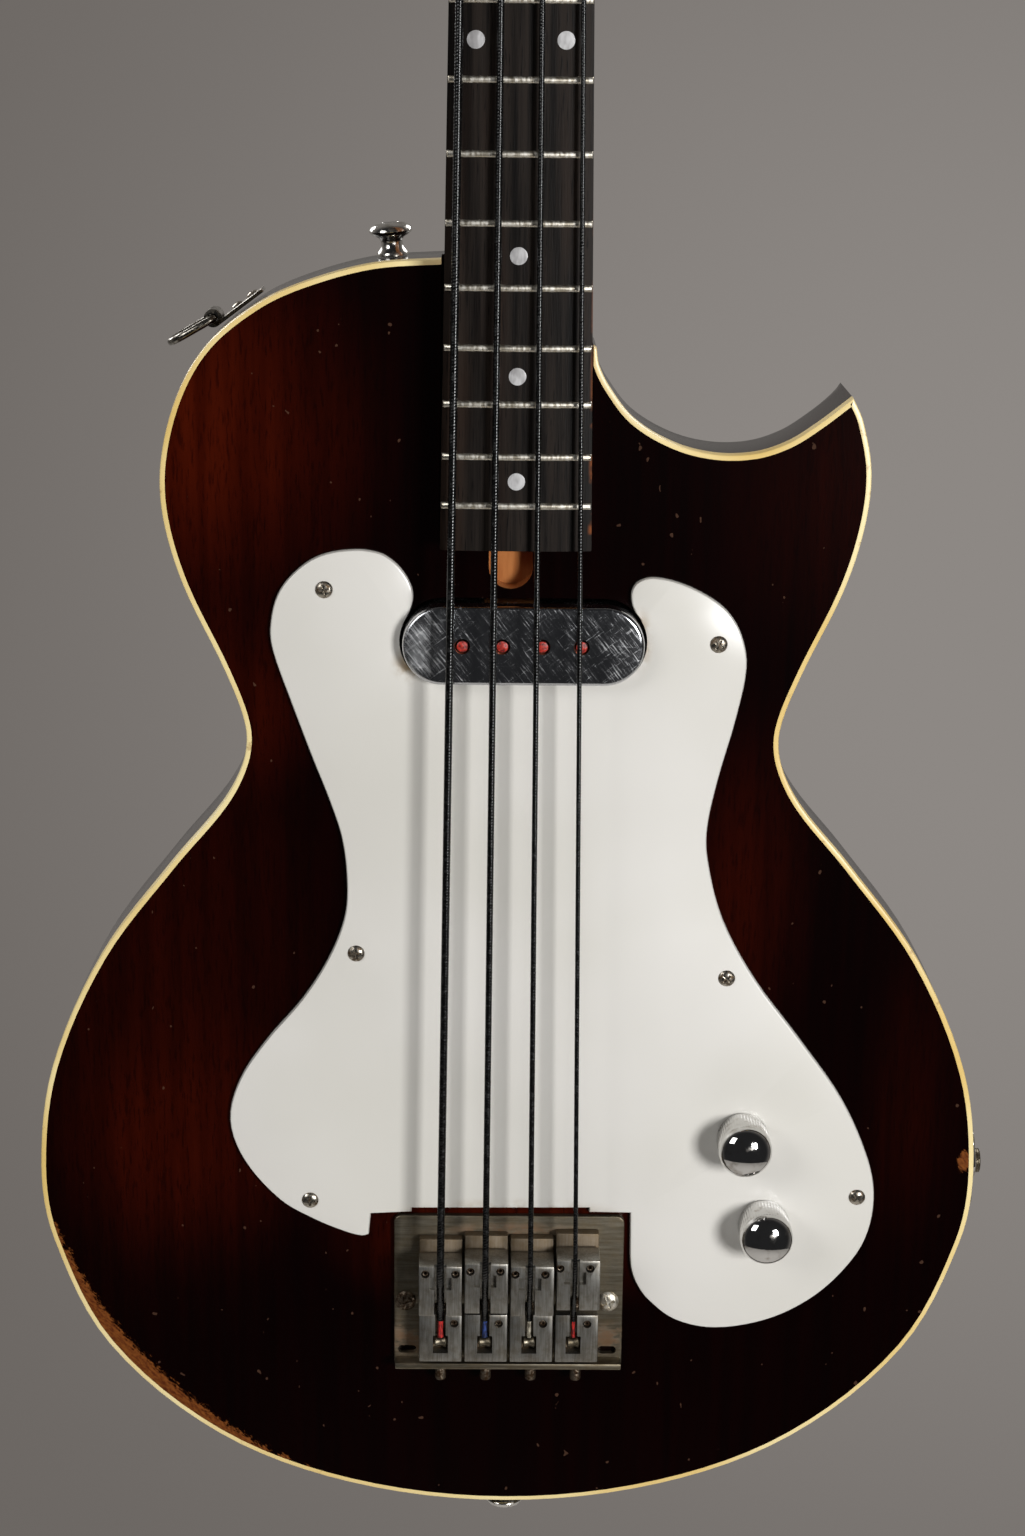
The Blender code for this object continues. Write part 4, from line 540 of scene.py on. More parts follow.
shaft_rings = []
for share in range(13):
    z = SHAFT_LOW + (SHAFT_TOP - SHAFT_LOW) * share / 12
    half = board_half(min(z, NUT_HEIGHT))
    deep = 5 + (3.4 - 5) * (z - BOARD_END) / (NUT_HEIGHT - BOARD_END)
    ring = [(-half, NECK_TOP, z), (half, NECK_TOP, z), (half, SHAFT_EDGE, z)]
    for turn in range(25):
        angle = pi * turn / 24
        ring.append((half * cos(angle), SHAFT_EDGE + (deep - SHAFT_EDGE) * sin(angle) ** 0.85, z))
    ring.append((-half, SHAFT_EDGE, z))
    shaft_rings.append(ring)
neck = piece_of("neck_wood", ringed(shaft_rings), maple, "neck")
heel_rings = []
for share in range(7):
    z = BOARD_END + 0.1 + (HEEL_TOP - BOARD_END) * share / 6
    half = HEEL_HALF + (HEEL_TOP_HALF - HEEL_HALF) * share / 6 - 0.3
    corners = round_rectangle(-half, half, NECK_TOP, 16.1, 1.5, 2)
    heel_rings.append([(x, y, z) for x, y in corners])
head_piece = slab(head_outline, 0, 14, 1.2, 1.6)
head_piece.transform(HEAD)
join(neck, ringed(heel_rings), head_piece)
POST_PLACES = {"e": (-23.5, 52), "a": (-22, 126), "d": (22, 126), "g": (23.5, 52)}
post_holes = []
for x, z in POST_PLACES.values():
    post_holes.append(bore(x, z, -3, 17, 6.6))
    post_holes[-1].transform(HEAD)
cut(neck, *post_holes, round_bar((0, ROD_Y, 262), (0, ROD_Y, 290), 5.2))

# Fingerboard: a strip of dark rosewood glued on the neck, crowned across, with worn edges. Nineteen
# nickel frets are pressed into saw slots, and pearl dots are let in between them.
BOARD_FACE = -16.2
BOARD_RADIUS = 300.0
FRET_COUNT = 19
FRET_HEIGHT, FRET_HALF = 1.1, 1.2
rosewood, shader, spot = new_finish("worn_rosewood", (52, 42, 36), 0.45, Specular_IOR_Level=0.08)
streaks = noise(spot, 330, 4.0, (1, 0.4, 0.03))
pores = noise(spot, 1900, 2.0, (1, 0.5, 0.05))
broad = noise(spot, 60, 2.0, (1, 1, 0.1))
wood = mixed(between(streaks, 0.35, 0.66), (17, 15, 14), (38, 32, 28))
wood = mixed(times(between(broad, 0.5, 0.7), 0.5), wood, (48, 34, 26))
wood = mixed(between(pores, 0.58, 0.7), wood, (15, 12, 11))
edge = between(coordinate(spot, "X"), 0.0246, 0.0262)
edge = times(edge, between(noise(spot, 120), 0.45, 0.6))
dress(shader, mixed(edge, wood, (128, 70, 34)), between(streaks, 0.3, 0.7, 0.36, 0.52))
relief(shader, pores, 0.2, 0.0003)


def crown_drop(x):
    """How much lower the crowned face is at x than along its middle."""
    return BOARD_RADIUS - sqrt(BOARD_RADIUS**2 - x * x)


def fret_place(number):
    return NUT_HEIGHT * 2 ** (-number / 12)


rings = []
for z in (BOARD_END, BOARD_END + 0.4, NUT_HEIGHT - 0.3):
    half = board_half(z) - (0.3 if z == BOARD_END else 0)
    across = [half * (i / 6 - 1) for i in range(13)]
    top = [(x, BOARD_FACE + crown_drop(x) + (0.3 if abs(x) == half else 0), z) for x in across]
    rings.append(top + [(half, BOARD_FACE + 1.8, z), (half, NECK_TOP - 0.3, z), (-half, NECK_TOP - 0.3, z)])
piece_of("fingerboard_wood", ringed(rings), rosewood, "fingerboard")


def mottled(name, plain, grain, edges, colors, bump, roughs=None, fine_bump=False):
    """A finish that varies along a noise in colour, in relief and, where roughs is given, in gloss."""
    material, shader, spot = new_finish(name, *plain)
    lumps = noise(spot, *grain)
    share = between(lumps, *edges)
    dress(shader, mixed(share, *colors), between(share, 0, 1, *roughs) if roughs else None)
    relief(shader, lumps if fine_bump else share, *bump)
    return material


fret_metal = mottled(
    "fret_nickel", ((222, 214, 198), 0.4, 1.0), (900, 3.0, (1, 1, 0.3)), (0.3, 0.7),
    ((196, 186, 166), (236, 232, 222)), (0.08, 0.0002), (0.34, 0.5),
)


def together(shapes):
    """Several shapes as one."""
    whole = bmesh.new()
    for shape in shapes:
        mesh = mesh_of(shape)
        whole.from_mesh(mesh)
        bpy.data.meshes.remove(mesh)
    return whole


frets = []
arch = [(cos(pi * i / 8), sin(pi * i / 8)) for i in range(9)]
for number in range(1, FRET_COUNT + 1):
    z = fret_place(number)
    half = board_half(z) - 0.2
    rings = []
    for place in (-1, -0.985, -0.75, -0.5, -0.25, 0, 0.25, 0.5, 0.75, 0.985, 1):
        x = half * place
        tall = 0.5 if abs(place) == 1 else FRET_HEIGHT
        face = BOARD_FACE + crown_drop(x)
        ring = [(x, face - tall * rise**0.8, z + FRET_HALF * run) for run, rise in arch]
        rings.append(ring + [(x, face + 0.6, z - 0.4), (x, face + 0.6, z + 0.4)])
    frets.append(ringed(rings))
piece_of("frets", together(frets), fret_metal, "fingerboard", sharp=50)


def lathe(profile, base, axis, sides=32, ridges=None):
    """A profile of (radius, height) turned about an axis, with ridges from one height to another."""
    shape = bmesh.new()
    loops = []
    for radius, height in profile:
        if radius == 0:
            loops.append([shape.verts.new((0, 0, height))])
            continue
        loop = []
        for turn in range(sides):
            angle = 2 * pi * turn / sides
            reach = radius
            if ridges and turn % 2 and ridges[0] <= height <= ridges[1]:
                reach -= ridges[2]
            loop.append(shape.verts.new((reach * cos(angle), reach * sin(angle), height)))
        loops.append(loop)
    for upper, lower in zip(loops, loops[1:]):
        for i in range(sides):
            j = (i + 1) % sides
            above, below = len(upper), len(lower)
            corners = [upper[i % above], upper[j % above], lower[j % below], lower[i % below]]
            corners = list(dict.fromkeys(corners))
            if len(corners) > 2:
                shape.faces.new(corners)
    for loop in (loops[0], loops[-1]):
        if len(loop) > 2:
            shape.faces.new(loop)
    shape.transform(Matrix.Translation(base) @ towards(axis))
    return shape


FRONT, BEHIND = (0, -1, 0), (0, 1, 0)
pearl = mottled(
    "pearl_inlay", ((206, 202, 196), 0.22), (420, 2.0, (1, 1, 0.4)), (0.3, 0.7),
    ((160, 158, 158), (204, 203, 203)), (0.05, 0.0002),
)
dots = []
for number in (3, 5, 7, 9, 12, 15, 17, 19):
    z = (fret_place(number) + fret_place(number - 1)) / 2
    for x in (-15, 15) if number == 12 else (0,):
        face = BOARD_FACE + crown_drop(x)
        outward = Vector((x / BOARD_RADIUS, -1, 0)).normalized()
        dots.append(lathe([(0, 0.09), (2.7, 0.07), (3, 0), (3, -1)], (x, face, z), outward, 28))
piece_of("pearl_dots", together(dots), pearl, "fingerboard")

# Nut: a bar of bone across the board's upper end, filed with one slot for each string. The slots'
# floors follow the crown of the board.
NUT_XS = (-16.2, -5.4, 5.4, 16.2)
STRING_RADII = (1.4, 1.2, 1.0, 0.85)
bone = mottled(
    "polished_bone", ((222, 212, 186), 0.3), (300, 4.0, (0.2, 1, 1)), (0.3, 0.7),
    ((232, 224, 202), (202, 184, 146)), (0.05, 0.0002), fine_bump=True,
)


def block(low, high, edge):
    """A box whose edges are all rounded."""
    shape = bar(low, high)
    bmesh.ops.bevel(shape, geom=shape.edges[:], offset=edge, segments=2, profile=0.5, affect="EDGES")
    return shape


nut = piece_of("string_nut", block((-19, -18.8, NUT_HEIGHT), (19, -10.5, NUT_TOP), 0.5), bone, "nut")
nut_slots = []
for x, radius in zip(NUT_XS, STRING_RADII):
    slot_floor = -17.5 + crown_drop(x)
    nut_slots.append(bar((x - radius - 0.2, -20, 862), (x + radius + 0.2, slot_floor, 870)))
cut(nut, *nut_slots)

# Truss rod and its nut: a steel rod in the neck, drawn tight by a slotted nut in the bare channel
# between the board and the pickup.
steel, shader, spot = new_finish("plain_steel", (150, 148, 144), 0.35, 1.0)
turned_lines = noise(spot, 1400, 3.0, (1, 1, 0.2))
spots = between(noise(spot, 260, 4.0), 0.58, 0.72)
metal = mixed(between(turned_lines, 0.3, 0.7), (168, 165, 160), (126, 124, 122))
dress(shader, mixed(times(spots, 0.6), metal, (86, 66, 50)), between(spots, 0, 1, 0.28, 0.6))
relief(shader, turned_lines, 0.06, 0.0002)
rod_nut = lathe([(3.7, 10), (4.4, 9.4), (4.4, 0.6), (3.8, 0)], (0, ROD_Y, 274.3), (0, 0, 1))
rod_nut = piece_of("truss_nut_turned", rod_nut, steel, "truss_rod_nut", "truss_adjuster")
slot = bar((-6, ROD_Y - 0.6, 272), (6, ROD_Y + 0.6, 276.3))
cut(rod_nut, slot, round_bar((0, ROD_Y, 277.3), (0, ROD_Y, 286), 2.8))


def repaint(paint, *nodes):
    """Gives CAD nodes, which keep their form, their finish."""
    for node in nodes:
        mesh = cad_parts[node].data
        mesh.materials.clear()
        mesh.materials.append(paint)


repaint(steel, "truss_rod")

# Neck plate: a steel plate on the back, plated, through which four screws pull the neck into its
# pocket.
chrome, shader, spot = new_finish("scratched_chrome", (205, 205, 206), 0.1, 1.0)
hairs = noise(turned(spot, 38), 2300, 4.0, (1, 1, 0.06), 0.7)
crossing = noise(spot, 1300, 4.0, (0.08, 1, 1), 0.7)
haze = noise(spot, 120, 3.0)
swirls = noise(turned(spot, -52), 1500, 4.0, (1, 1, 0.07), 0.75)
scratches_and_painted_highlight = all_of([
    times(between(hairs, 0.45, 0.75, 0, 0.8), between(haze, 0.25, 0.75, 0.15, 1.0)),
    times(between(crossing, 0.58, 0.76), 0.35),
    times(between(swirls, 0.56, 0.74), 0.45),
    # Painted highlight: the pickup cover is painted lighter and rougher at its two ends, most at the left
    # end. The lines above are real scratches.
    times(patch(spot, (-34, 236), (14, 22), 0.9), 0.38),
    times(patch(spot, (42, 234), (16, 22), 0.9), 0.12),
])
dull = plus(scratches_and_painted_highlight, times(haze, 0.3))
dress(shader, mixed(scratches_and_painted_highlight, (196, 198, 202), (226, 226, 226)), between(dull, 0, 1.3, 0.09, 0.62))
relief(shader, times(plus(hairs, crossing), 0.5), 0.12, 0.0002)
NECK_PLATE_BACK = 40.3
neck_plate = slab(round_rectangle(-23, 23, 273.3, 329.3, 6, 8), 38.3, NECK_PLATE_BACK, 0.0, 0.8)
piece_of("neck_plate_sheet", neck_plate, chrome, "neck_plate")


def cross_head(radius, height):
    """A domed screw head with a cross recess, standing on the origin and facing +z."""
    share = ((0, 1), (0.35, 0.96), (0.65, 0.8), (0.88, 0.5), (1, 0.2), (1, -0.1))
    shape = lathe([(radius * out, height * up) for out, up in share], (0, 0, 0), (0, 0, 1), 28)
    mesh = mesh_of(shape)
    mesh.transform(TO_METRES)
    pattern = placed("pattern", mesh)
    arm, half, floor = radius * 0.62, radius * 0.14, height * 0.35
    cut(
        pattern,
        bar((-arm, -half, floor), (arm, half, height * 2)),
        bar((-half, -arm, floor), (half, arm, height * 2)),
    )
    made = bmesh.new()
    made.from_mesh(pattern.data)
    made.transform(TO_METRES.inverted())
    bpy.data.objects.remove(pattern)
    return made


def screws(name, radius, height, places, facing, paint, node, lean=None):
    """Copies of one screw head on a plane, each turned to its own angle."""
    head = cross_head(radius, height)
    copies = []
    for number, place in enumerate(places):
        copy = head.copy()
        turn = Matrix.Rotation(number * 0.7 + 0.3, 4, "Z")
        copy.transform(Matrix.Translation(place) @ towards(facing) @ turn)
        copies.append(copy)
    head.free()
    piece_of(name, together(copies), paint, node, lean=lean)


plate_places = [(x, NECK_PLATE_BACK, z) for x in (-16.5, 16.5) for z in (279.8, 322.8)]
screws("neck_plate_screws", 4.5, 1.8, plate_places, BEHIND, steel, "neck_plate")

# Pickguard: one sheet of off-white plastic with a rounded edge, cut out for the pickup and stepped at
# the bridge. It is held by six small domed screws, and yellow grime lies in its edges.
GUARD_FRONT, GUARD_BACK = -2.7, -0.3
GUARD_LEFT_KNOTS = (
    (-39.4, 242.7), (-37.2, 247.5), (-36, 252), (-36.5, 256.2), (-39, 261), (-42.8, 265.3), (-48, 268.4),
    (-57, 269.5), (-68.8, 267.3), (-77.7, 261.4), (-84.2, 252.7), (-86.8, 241), (-85.9, 232.3), (-80, 214.7),
    (-72, 192.4), (-66.3, 177.4), (-61.7, 162.3), (-60, 145), (-61.2, 131.6), (-67.2, 116), (-76.9, 100.2),
    (-90, 84.3), (-100.3, 68.3), (-104.3, 52.2), (-99.3, 36), (-86, 19.7), (-72.9, 11.6), (-61.6, 6.7),
    (-55.4, 5), (-52.6, 5.6), (-51.8, 14.2),
)
GUARD_RIGHT_KNOTS = (
    (46.6, -3), (47.2, -8.6), (49.3, -14.4), (53.6, -20.8), (64.4, -29.4), (79.8, -32.7), (99.3, -29.2),
    (115.4, -20.7), (127.5, -9), (135.7, 4.5), (138.4, 21.1), (135.4, 37.5), (124.5, 61.7), (107.8, 85.6),
    (90.3, 109.2), (77.7, 132.5), (71.5, 155.6), (71, 168), (74.3, 186), (80, 208.5), (83.3, 227.8),
    (81.2, 239.5), (75.9, 248.2), (68.3, 254), (58, 258.6), (48.8, 260.3), (43.9, 258.8), (41.7, 255.7),
    (41.6, 251.5), (42.9, 247.9), (45, 244.9),
)
GUARD_SCREWS = ((-67.5, 255.2), (73, 236.4), (-56.8, 118.7), (79.8, 109.9), (-74.6, 19.9), (131.8, 22.3))
STEP_BY_BRIDGE = [GUARD_LEFT_KNOTS[-1], (-36.4, 15), (-36.4, 16.6), (30.7, 17), (30.7, 15.2), (46.3, 15)]
guard_outline = smooth_run(GUARD_LEFT_KNOTS[:-1], 5) + STEP_BY_BRIDGE + smooth_run(GUARD_RIGHT_KNOTS, 5)
guard_plastic, shader, spot = new_finish("off_white_plastic", (222, 219, 212), 0.27)
sheet = mixed(between(noise(spot, 12, 2.0), 0.3, 0.7), (225, 222, 216), (217, 214, 206))
scuffs = between(noise(spot, 640, 5.0, (1, 1, 0.3), 0.75), 0.68, 0.78)
sheet = mixed(times(scuffs, 0.3), sheet, (176, 166, 148))
by_bridge = times(patch(spot, (1, 14), (52, 8), 0.7), 0.6)
dirty = all_of([patch(spot, (44, 237), (7, 15), 0.8), patch(spot, (-36, 228), (9, 9), 0.8), by_bridge])
smear = between(noise(spot, 110, 4.0, (1, 1, 1), 0.65), 0.36, 0.62)
sheet = mixed(times(times(dirty, smear), 0.8), sheet, (150, 118, 66))
dress(shader, sheet, between(scuffs, 0, 1, 0.25, 0.42))
relief(shader, scuffs, 0.04, 0.0002)


def racetrack(grow):
    """The pickup's outline, with round ends, moved outwards."""
    return round_rectangle(-39.7 - grow, 46.3 + grow, 222.25 - grow, 250.95 + grow, 14.35 + grow, 14)


bevelled = [at_depth(inset(guard_outline, 0.9), GUARD_FRONT)]
bevelled += [at_depth(inset(guard_outline, 0.35), -2.45), at_depth(guard_outline, -1.7)]
bevelled += [at_depth(guard_outline, GUARD_BACK)]
guard = piece_of("pickguard_sheet", ringed(bevelled), guard_plastic, "pickguard", sharp=25)
POT_PLACES = ((87.6, 46.8), (96.7, 11.5))
cut(guard, slab(racetrack(1.2), -5, 2), *[bore(x, z, -5, 2, 5) for x, z in POT_PLACES])
aged_steel = mottled(
    "aged_screw_steel", ((150, 142, 128), 0.34, 1.0), (700, 4.0), (0.42, 0.66),
    ((178, 172, 160), (92, 74, 54)), (0.1, 0.0002), (0.25, 0.6),
)
guard_places = [(x, GUARD_FRONT, z) for x, z in GUARD_SCREWS]
screws("guard_screws", 3.1, 1.3, guard_places, FRONT, aged_steel, "pickguard")

# Pickup: a pressed and plated cover over a wire coil, closed behind by a base. Four pole screws come
# up through round holes in the cover and are sealed with red wax.
POLE_XS = (-18.4, -4.2, 10.0, 23.9)
POLE_Z = 236.6
cover = piece_of("pickup_cover_shell", slab(racetrack(0), -10, 6, 1.6, steps=6), chrome, "pickup_cover")
cut(cover, slab(racetrack(-1), -9, 7, 0.8), *[bore(x, POLE_Z, -12, -5, 2.8, 32) for x in POLE_XS])
brass = mottled(
    "tarnished_brass", ((176, 134, 66), 0.38, 1.0), (300, 4.0), (0.35, 0.68),
    ((188, 148, 78), (102, 74, 40)), (0.05, 0.0002),
)
wax = mottled(
    "red_sealing_wax", ((176, 38, 26), 0.4), (900, 3.0), (0.35, 0.62),
    ((92, 12, 9), (186, 48, 34)), (0.6, 0.0006), fine_bump=True,
)
poles = [lathe([(2.0, 9.9), (2.1, 9.7), (2.1, -7.6)], (x, 0, POLE_Z), FRONT, 24) for x in POLE_XS]
drops = [lathe([(0, 0.35), (1.0, 0.3), (1.8, 0.12), (2.0, 0)], (x, -9.9, POLE_Z), FRONT, 20) for x in POLE_XS]
piece_of("pickup_base_sheet", slab(racetrack(0), 6.3, 7.8, 0.3), brass, "pickup_base")
piece_of("pole_screws", together(poles), steel, "pickup_base")
piece_of("pole_sealing_wax", together(drops), wax, "pickup_base")

# Controls: two pots under the guard, and a hollow domed knob of chromed brass pressed on each shaft.
# The knob's side is knurled for grip.
knob_chrome = mottled(
    "knob_chrome", ((205, 204, 202), 0.07, 1.0), (260, 4.0), (0.5, 0.75),
    ((208, 207, 205), (160, 154, 146)), (0.02, 0.0002), (0.05, 0.22),
)
KNOB_RADIUS = 9.9
knob_profile = [(0, 19)]
for degrees in range(10, 100, 10):
    knob_profile.append((KNOB_RADIUS * sin(radians(degrees)), 13.2 + 5.8 * cos(radians(degrees))))
knob_profile += [(9.8, 13), (9.7, 12.6), (KNOB_RADIUS, 12.3), (KNOB_RADIUS, 1.2), (9.6, 0.5), (9.6, 0)]
for name, (x, z) in zip(("volume", "tone"), POT_PLACES):
    knob = lathe(knob_profile, (x, -3.5, z), FRONT, 112, (1.2, 12.3, 0.28))
    knob = piece_of(f"{name}_knob_turned", knob, knob_chrome, f"{name}_knob", f"{name}_control", sharp=40)
    cut(knob, bore(x, z, -18, 1, 6.8, 40))

# Bridge plate: a bent sheet of nickel-plated brass with an upright lip behind. Two large screws hold it
# to the body. It is tarnished, with brown dirt in its lower corners.
nickel, shader, spot = new_finish("tarnished_nickel_plate", (128, 120, 104), 0.36, 1.0)
brushed = noise(spot, 1300, 4.0, (0.06, 1, 1), 0.65)
cloudy = between(noise(spot, 130, 5.0, (1, 1, 1), 0.65), 0.34, 0.7)
metal = mixed(between(brushed, 0.3, 0.7), (140, 133, 118), (110, 102, 86))
metal = mixed(times(cloudy, 0.55), metal, (86, 72, 50))
DIRTY_PLACES = (((-37, -37), (13, 11)), ((39.5, -37), (12, 9)), ((0, 8), (36, 4)))
corners = all_of([patch(spot, place, reach, 0.8) for place, reach in DIRTY_PLACES])
crust = times(corners, between(noise(spot, 240, 5.0, (0.6, 1, 1), 0.7), 0.36, 0.6))
metal = mixed(times(crust, 0.85), metal, (104, 74, 46))
dress(shader, metal, between(plus(crust, times(cloudy, 0.5)), 0, 1, 0.4, 0.65))
shader.id_data.links.new(between(crust, 0, 1, 1, 0.25), shader.inputs["Metallic"])
relief(shader, plus(brushed, crust), 0.12, 0.0003)

PLATE_FACE = -2.8
LONG_SCREW_Y = -5.3
BLOCK_MIDDLES = (-25.2, -8.0, 9.2, 26.4)
plate = slab(round_rectangle(-43, 44.2, -50.3, 13.8, 3, 8), PLATE_FACE, -0.3, 0.5)
plate = piece_of("bridge_plate_sheet", plate, nickel, "bridge_plate")
join(plate, block((-42.6, -8.6, -47.6), (43.8, -1.5, -45.1), 0.5))
plate_slots = [slab(round_rectangle(left, left + 7, -43.6, -40.4, 1.5), -4, 0) for left in (-41.5, 35)]
lip_holes = [round_bar((x, LONG_SCREW_Y, -49), (x, LONG_SCREW_Y, -44), 1.8) for x in BLOCK_MIDDLES]
cut(plate, *plate_slots, *lip_holes)
rusty = mottled(
    "rusted_screw_steel", ((66, 56, 46), 0.5, 1.0), (800, 5.0), (0.36, 0.62),
    ((122, 110, 96), (58, 42, 28)), (0.3, 0.0003), (0.34, 0.75),
)
for name, x, paint in (("left", -38.6, rusty), ("right", 38.6, fret_metal)):
    screws(f"bridge_screw_{name}", 4, 1.6, [(x, PLATE_FACE, -21.5)], FRONT, paint, "bridge_plate")

# Saddles: each string has a slotted saddle block on a carriage that slides on the plate. Two set
# screws raise it, and a long screw through the lip draws the carriage back.
block_nickel, shader, spot = new_finish("brushed_nickel_blocks", (168, 164, 156), 0.42, 1.0)
fine = noise(spot, 1500, 4.0, (1, 1, 0.06), 0.65)
blotch = between(noise(spot, 260, 4.0, (1, 1, 1), 0.6), 0.4, 0.72)
# Painted shade: the blocks are painted darker and browner the deeper they lie towards the plate, so their
# recesses and windows look shaded.
deep = between(coordinate(spot, "Y"), -0.0022, 0.0035)
metal = mixed(between(fine, 0.3, 0.7), (168, 166, 160), (132, 129, 122))
metal = mixed(times(blotch, 0.5), metal, (98, 84, 62))
# Here the painted shade darkens the deeper parts of the blocks.
metal = mixed(times(deep, 0.75), metal, (108, 88, 60))
dress(shader, metal, between(plus(times(blotch, 0.3), deep), 0, 1, 0.4, 0.6))
relief(shader, fine, 0.06, 0.0002)

STRINGS = ("e", "a", "d", "g")
BRIDGE_XS = (-25.2, -8.4, 8.4, 25.2)
SADDLE_TOPS = (1.7, 3.3, 2.2, 4.3)
BLOCK_HALF = 8.1
SADDLE_LENGTH = 20.4
POST_REACH = BLOCK_HALF - 2.5
POST_BACK = 3.2


def straight_string(index, z):
    """The centre of a string at a height on its straight run from the saddle to the nut."""
    share = z / NUT_HEIGHT
    near, far = BRIDGE_XS[index], NUT_XS[index]
    low, high = -21.01 + crown_drop(near), -17.51 + crown_drop(far)
    return Vector((near + (far - near) * share, low + (high - low) * share - STRING_RADII[index], z))


def threaded(start, end, radius, pitch, depth=0.25, sides=20):
    """A rod with thread-like ridges, from one point to another."""
    start, end = Vector(start), Vector(end)
    length = (end - start).length
    turns = int(length / pitch)
    profile = [(radius - depth, length)]
    for turn in range(turns, 0, -1):
        profile += [(radius, turn * pitch - 0.25 * pitch), (radius - depth, turn * pitch - 0.75 * pitch)]
    profile.append((radius - depth, 0))
    return lathe(profile, start, end - start, sides)


for index, name in enumerate(STRINGS):
    middle, top, radius = BLOCK_MIDDLES[index], SADDLE_TOPS[index], STRING_RADII[index]
    left, right, end = middle - BLOCK_HALF, middle + BLOCK_HALF, top - SADDLE_LENGTH
    centre = straight_string(index, top)
    x, base = centre.x, centre.y + radius
    front = base - 1.4
    rides, node = f"carriage_{name}", f"saddle_carriage_{name}"
    carriage = block((left, -7.5, end), (right, -3.1, top + 4.5), 0.5)
    carriage = piece_of(f"carriage_{name}_block", carriage, block_nickel, node, rides)
    run_end = (middle, LONG_SCREW_Y, end + 11.1)
    cut(carriage, round_bar((middle, LONG_SCREW_Y, end - 1), run_end, 1.8))
    profile = [(0.6, front + 2.9), (0.7, front + 1.1), (1.1, front + 1.0), (1.3, front + 1.2), (1.3, -7.0)]
    profile = [(wide, -y) for wide, y in profile]
    post_xs = [x + side * POST_REACH for side in (-1, 1)]
    posts = [lathe(profile, (post_x, 0, top - POST_BACK), FRONT, 18) for post_x in post_xs]
    piece_of(f"height_screws_{name}", together(posts), rusty, node, rides)

    saddle = block((left, front, end), (right, -9.3, top), 0.45)
    saddle = piece_of(f"saddle_{name}_block", saddle, block_nickel, f"saddle_{name}", f"saddle_block_{name}")
    wall = radius + 0.9
    groove = (
        (front - 1, top + 1), (base + 0.7, top + 1), (base + 0.35, top - 1), (base + 1.1, top - 2.5),
        (-9.7, end - 1), (front - 1, end - 1),
    )
    slot = [[(x + side * wall, y, z) for y, z in groove] for side in (-1, 1)]
    notch = bar((x - 4.2, front - 1, top - 9.6), (x + 4.2, front + 2.2, top - 4.6))
    cut(saddle, ringed(slot), notch, *[bore(post_x, top - POST_BACK, -25, -8, 1.6) for post_x in post_xs])

    start = (middle, LONG_SCREW_Y, -48.2)
    thread = threaded(start, (middle, LONG_SCREW_Y, end + 8), 1.5, 0.8)
    head = [(0.8, 3.8), (0.8, 4.9), (1.8, 5), (2.1, 4.6), (2.1, 0.3), (1.9, 0)]
    head = lathe(head, (middle, LONG_SCREW_Y, -47.9), (0, 0, -1), 24)
    screw = together([thread, head])
    piece_of(f"intonation_{name}_threaded", screw, rusty, f"intonation_screw_{name}", f"intonation_{name}")

# String anchors: four blocks against the lip. The string's ball end sits behind a square window, and
# the string comes out through a slot.
ANCHOR_FACE = -12.5
CLAMP_OUT, CLAMP_Z = 5.2, -26
for index, name in enumerate(STRINGS):
    middle, radius = BLOCK_MIDDLES[index], STRING_RADII[index]
    x = straight_string(index, SADDLE_TOPS[index]).x
    anchor = block((middle - BLOCK_HALF, -13, -42), (middle + BLOCK_HALF, -3.1, -22.3), 0.45)
    anchor = piece_of(f"anchor_{name}_block", anchor, block_nickel, f"string_anchor_{name}")
    wall = radius + 0.6
    cut(
        anchor,
        bar((x - wall, -14, -32.1), (x + wall, ANCHOR_FACE + 2 * radius + 1.2, -21.3)),
        bar((x - 2.85, -14, -38.4), (x + 2.85, -7.6, -31.1)),
        bore(x + CLAMP_OUT, CLAMP_Z, -14, -10.3, 1.6),
        bar((middle - 1.8, -7.1, -43), (middle + 1.8, -2, -21.3)),
    )
    clamp = [(0.6, 0.7), (0.6, 1.7), (1.2, 1.6), (1.4, 1.3), (1.4, 0)]
    clamp = lathe(clamp, (x + CLAMP_OUT, -10.2, CLAMP_Z), FRONT, 18)
    piece_of(f"clamp_screw_{name}", clamp, rusty, f"string_anchor_{name}")

# Strings: steel cores under black nylon tape, tight from the anchors over the saddles and the nut to
# the posts. Each has a plated ball and coloured silk at its lower end.
tape, shader, spot = new_finish("black_nylon_tape", (6, 6, 7), 0.24, Specular_IOR_Level=0.5)
waves = {"Vector": turned(spot, 20), "Scale": 300.0}
turns = step(spot, "TexWave", waves, bands_direction="Z").outputs["Fac"]
dusty = between(noise(spot, 500, 3.0), 0.4, 0.75)
dress(shader, mixed(dusty, (3, 3, 3), (12, 12, 12)), between(dusty, 0, 1, 0.2, 0.42))
relief(shader, turns, 0.3, 0.0002)
half_ball = [(0.7, 2.2), (1.9, 2.2), (2.2, 1.8), (1.7, 0.6)]
BALL_PROFILE = half_ball + [(radius, -height) for radius, height in reversed(half_ball)]
silks = {}
for name, light, dark in (
    ("red", (196, 34, 26), (96, 10, 10)),
    ("blue", (44, 70, 138), (12, 18, 44)),
    ("white", (196, 188, 168), (92, 84, 70)),
):
    silks[name] = mottled(
        f"{name}_silk", (light, 0.7), (1500, 3.0, (1, 1, 0.25)), (0.36, 0.6),
        (light, dark), (0.8, 0.0004), fine_bump=True,
    )


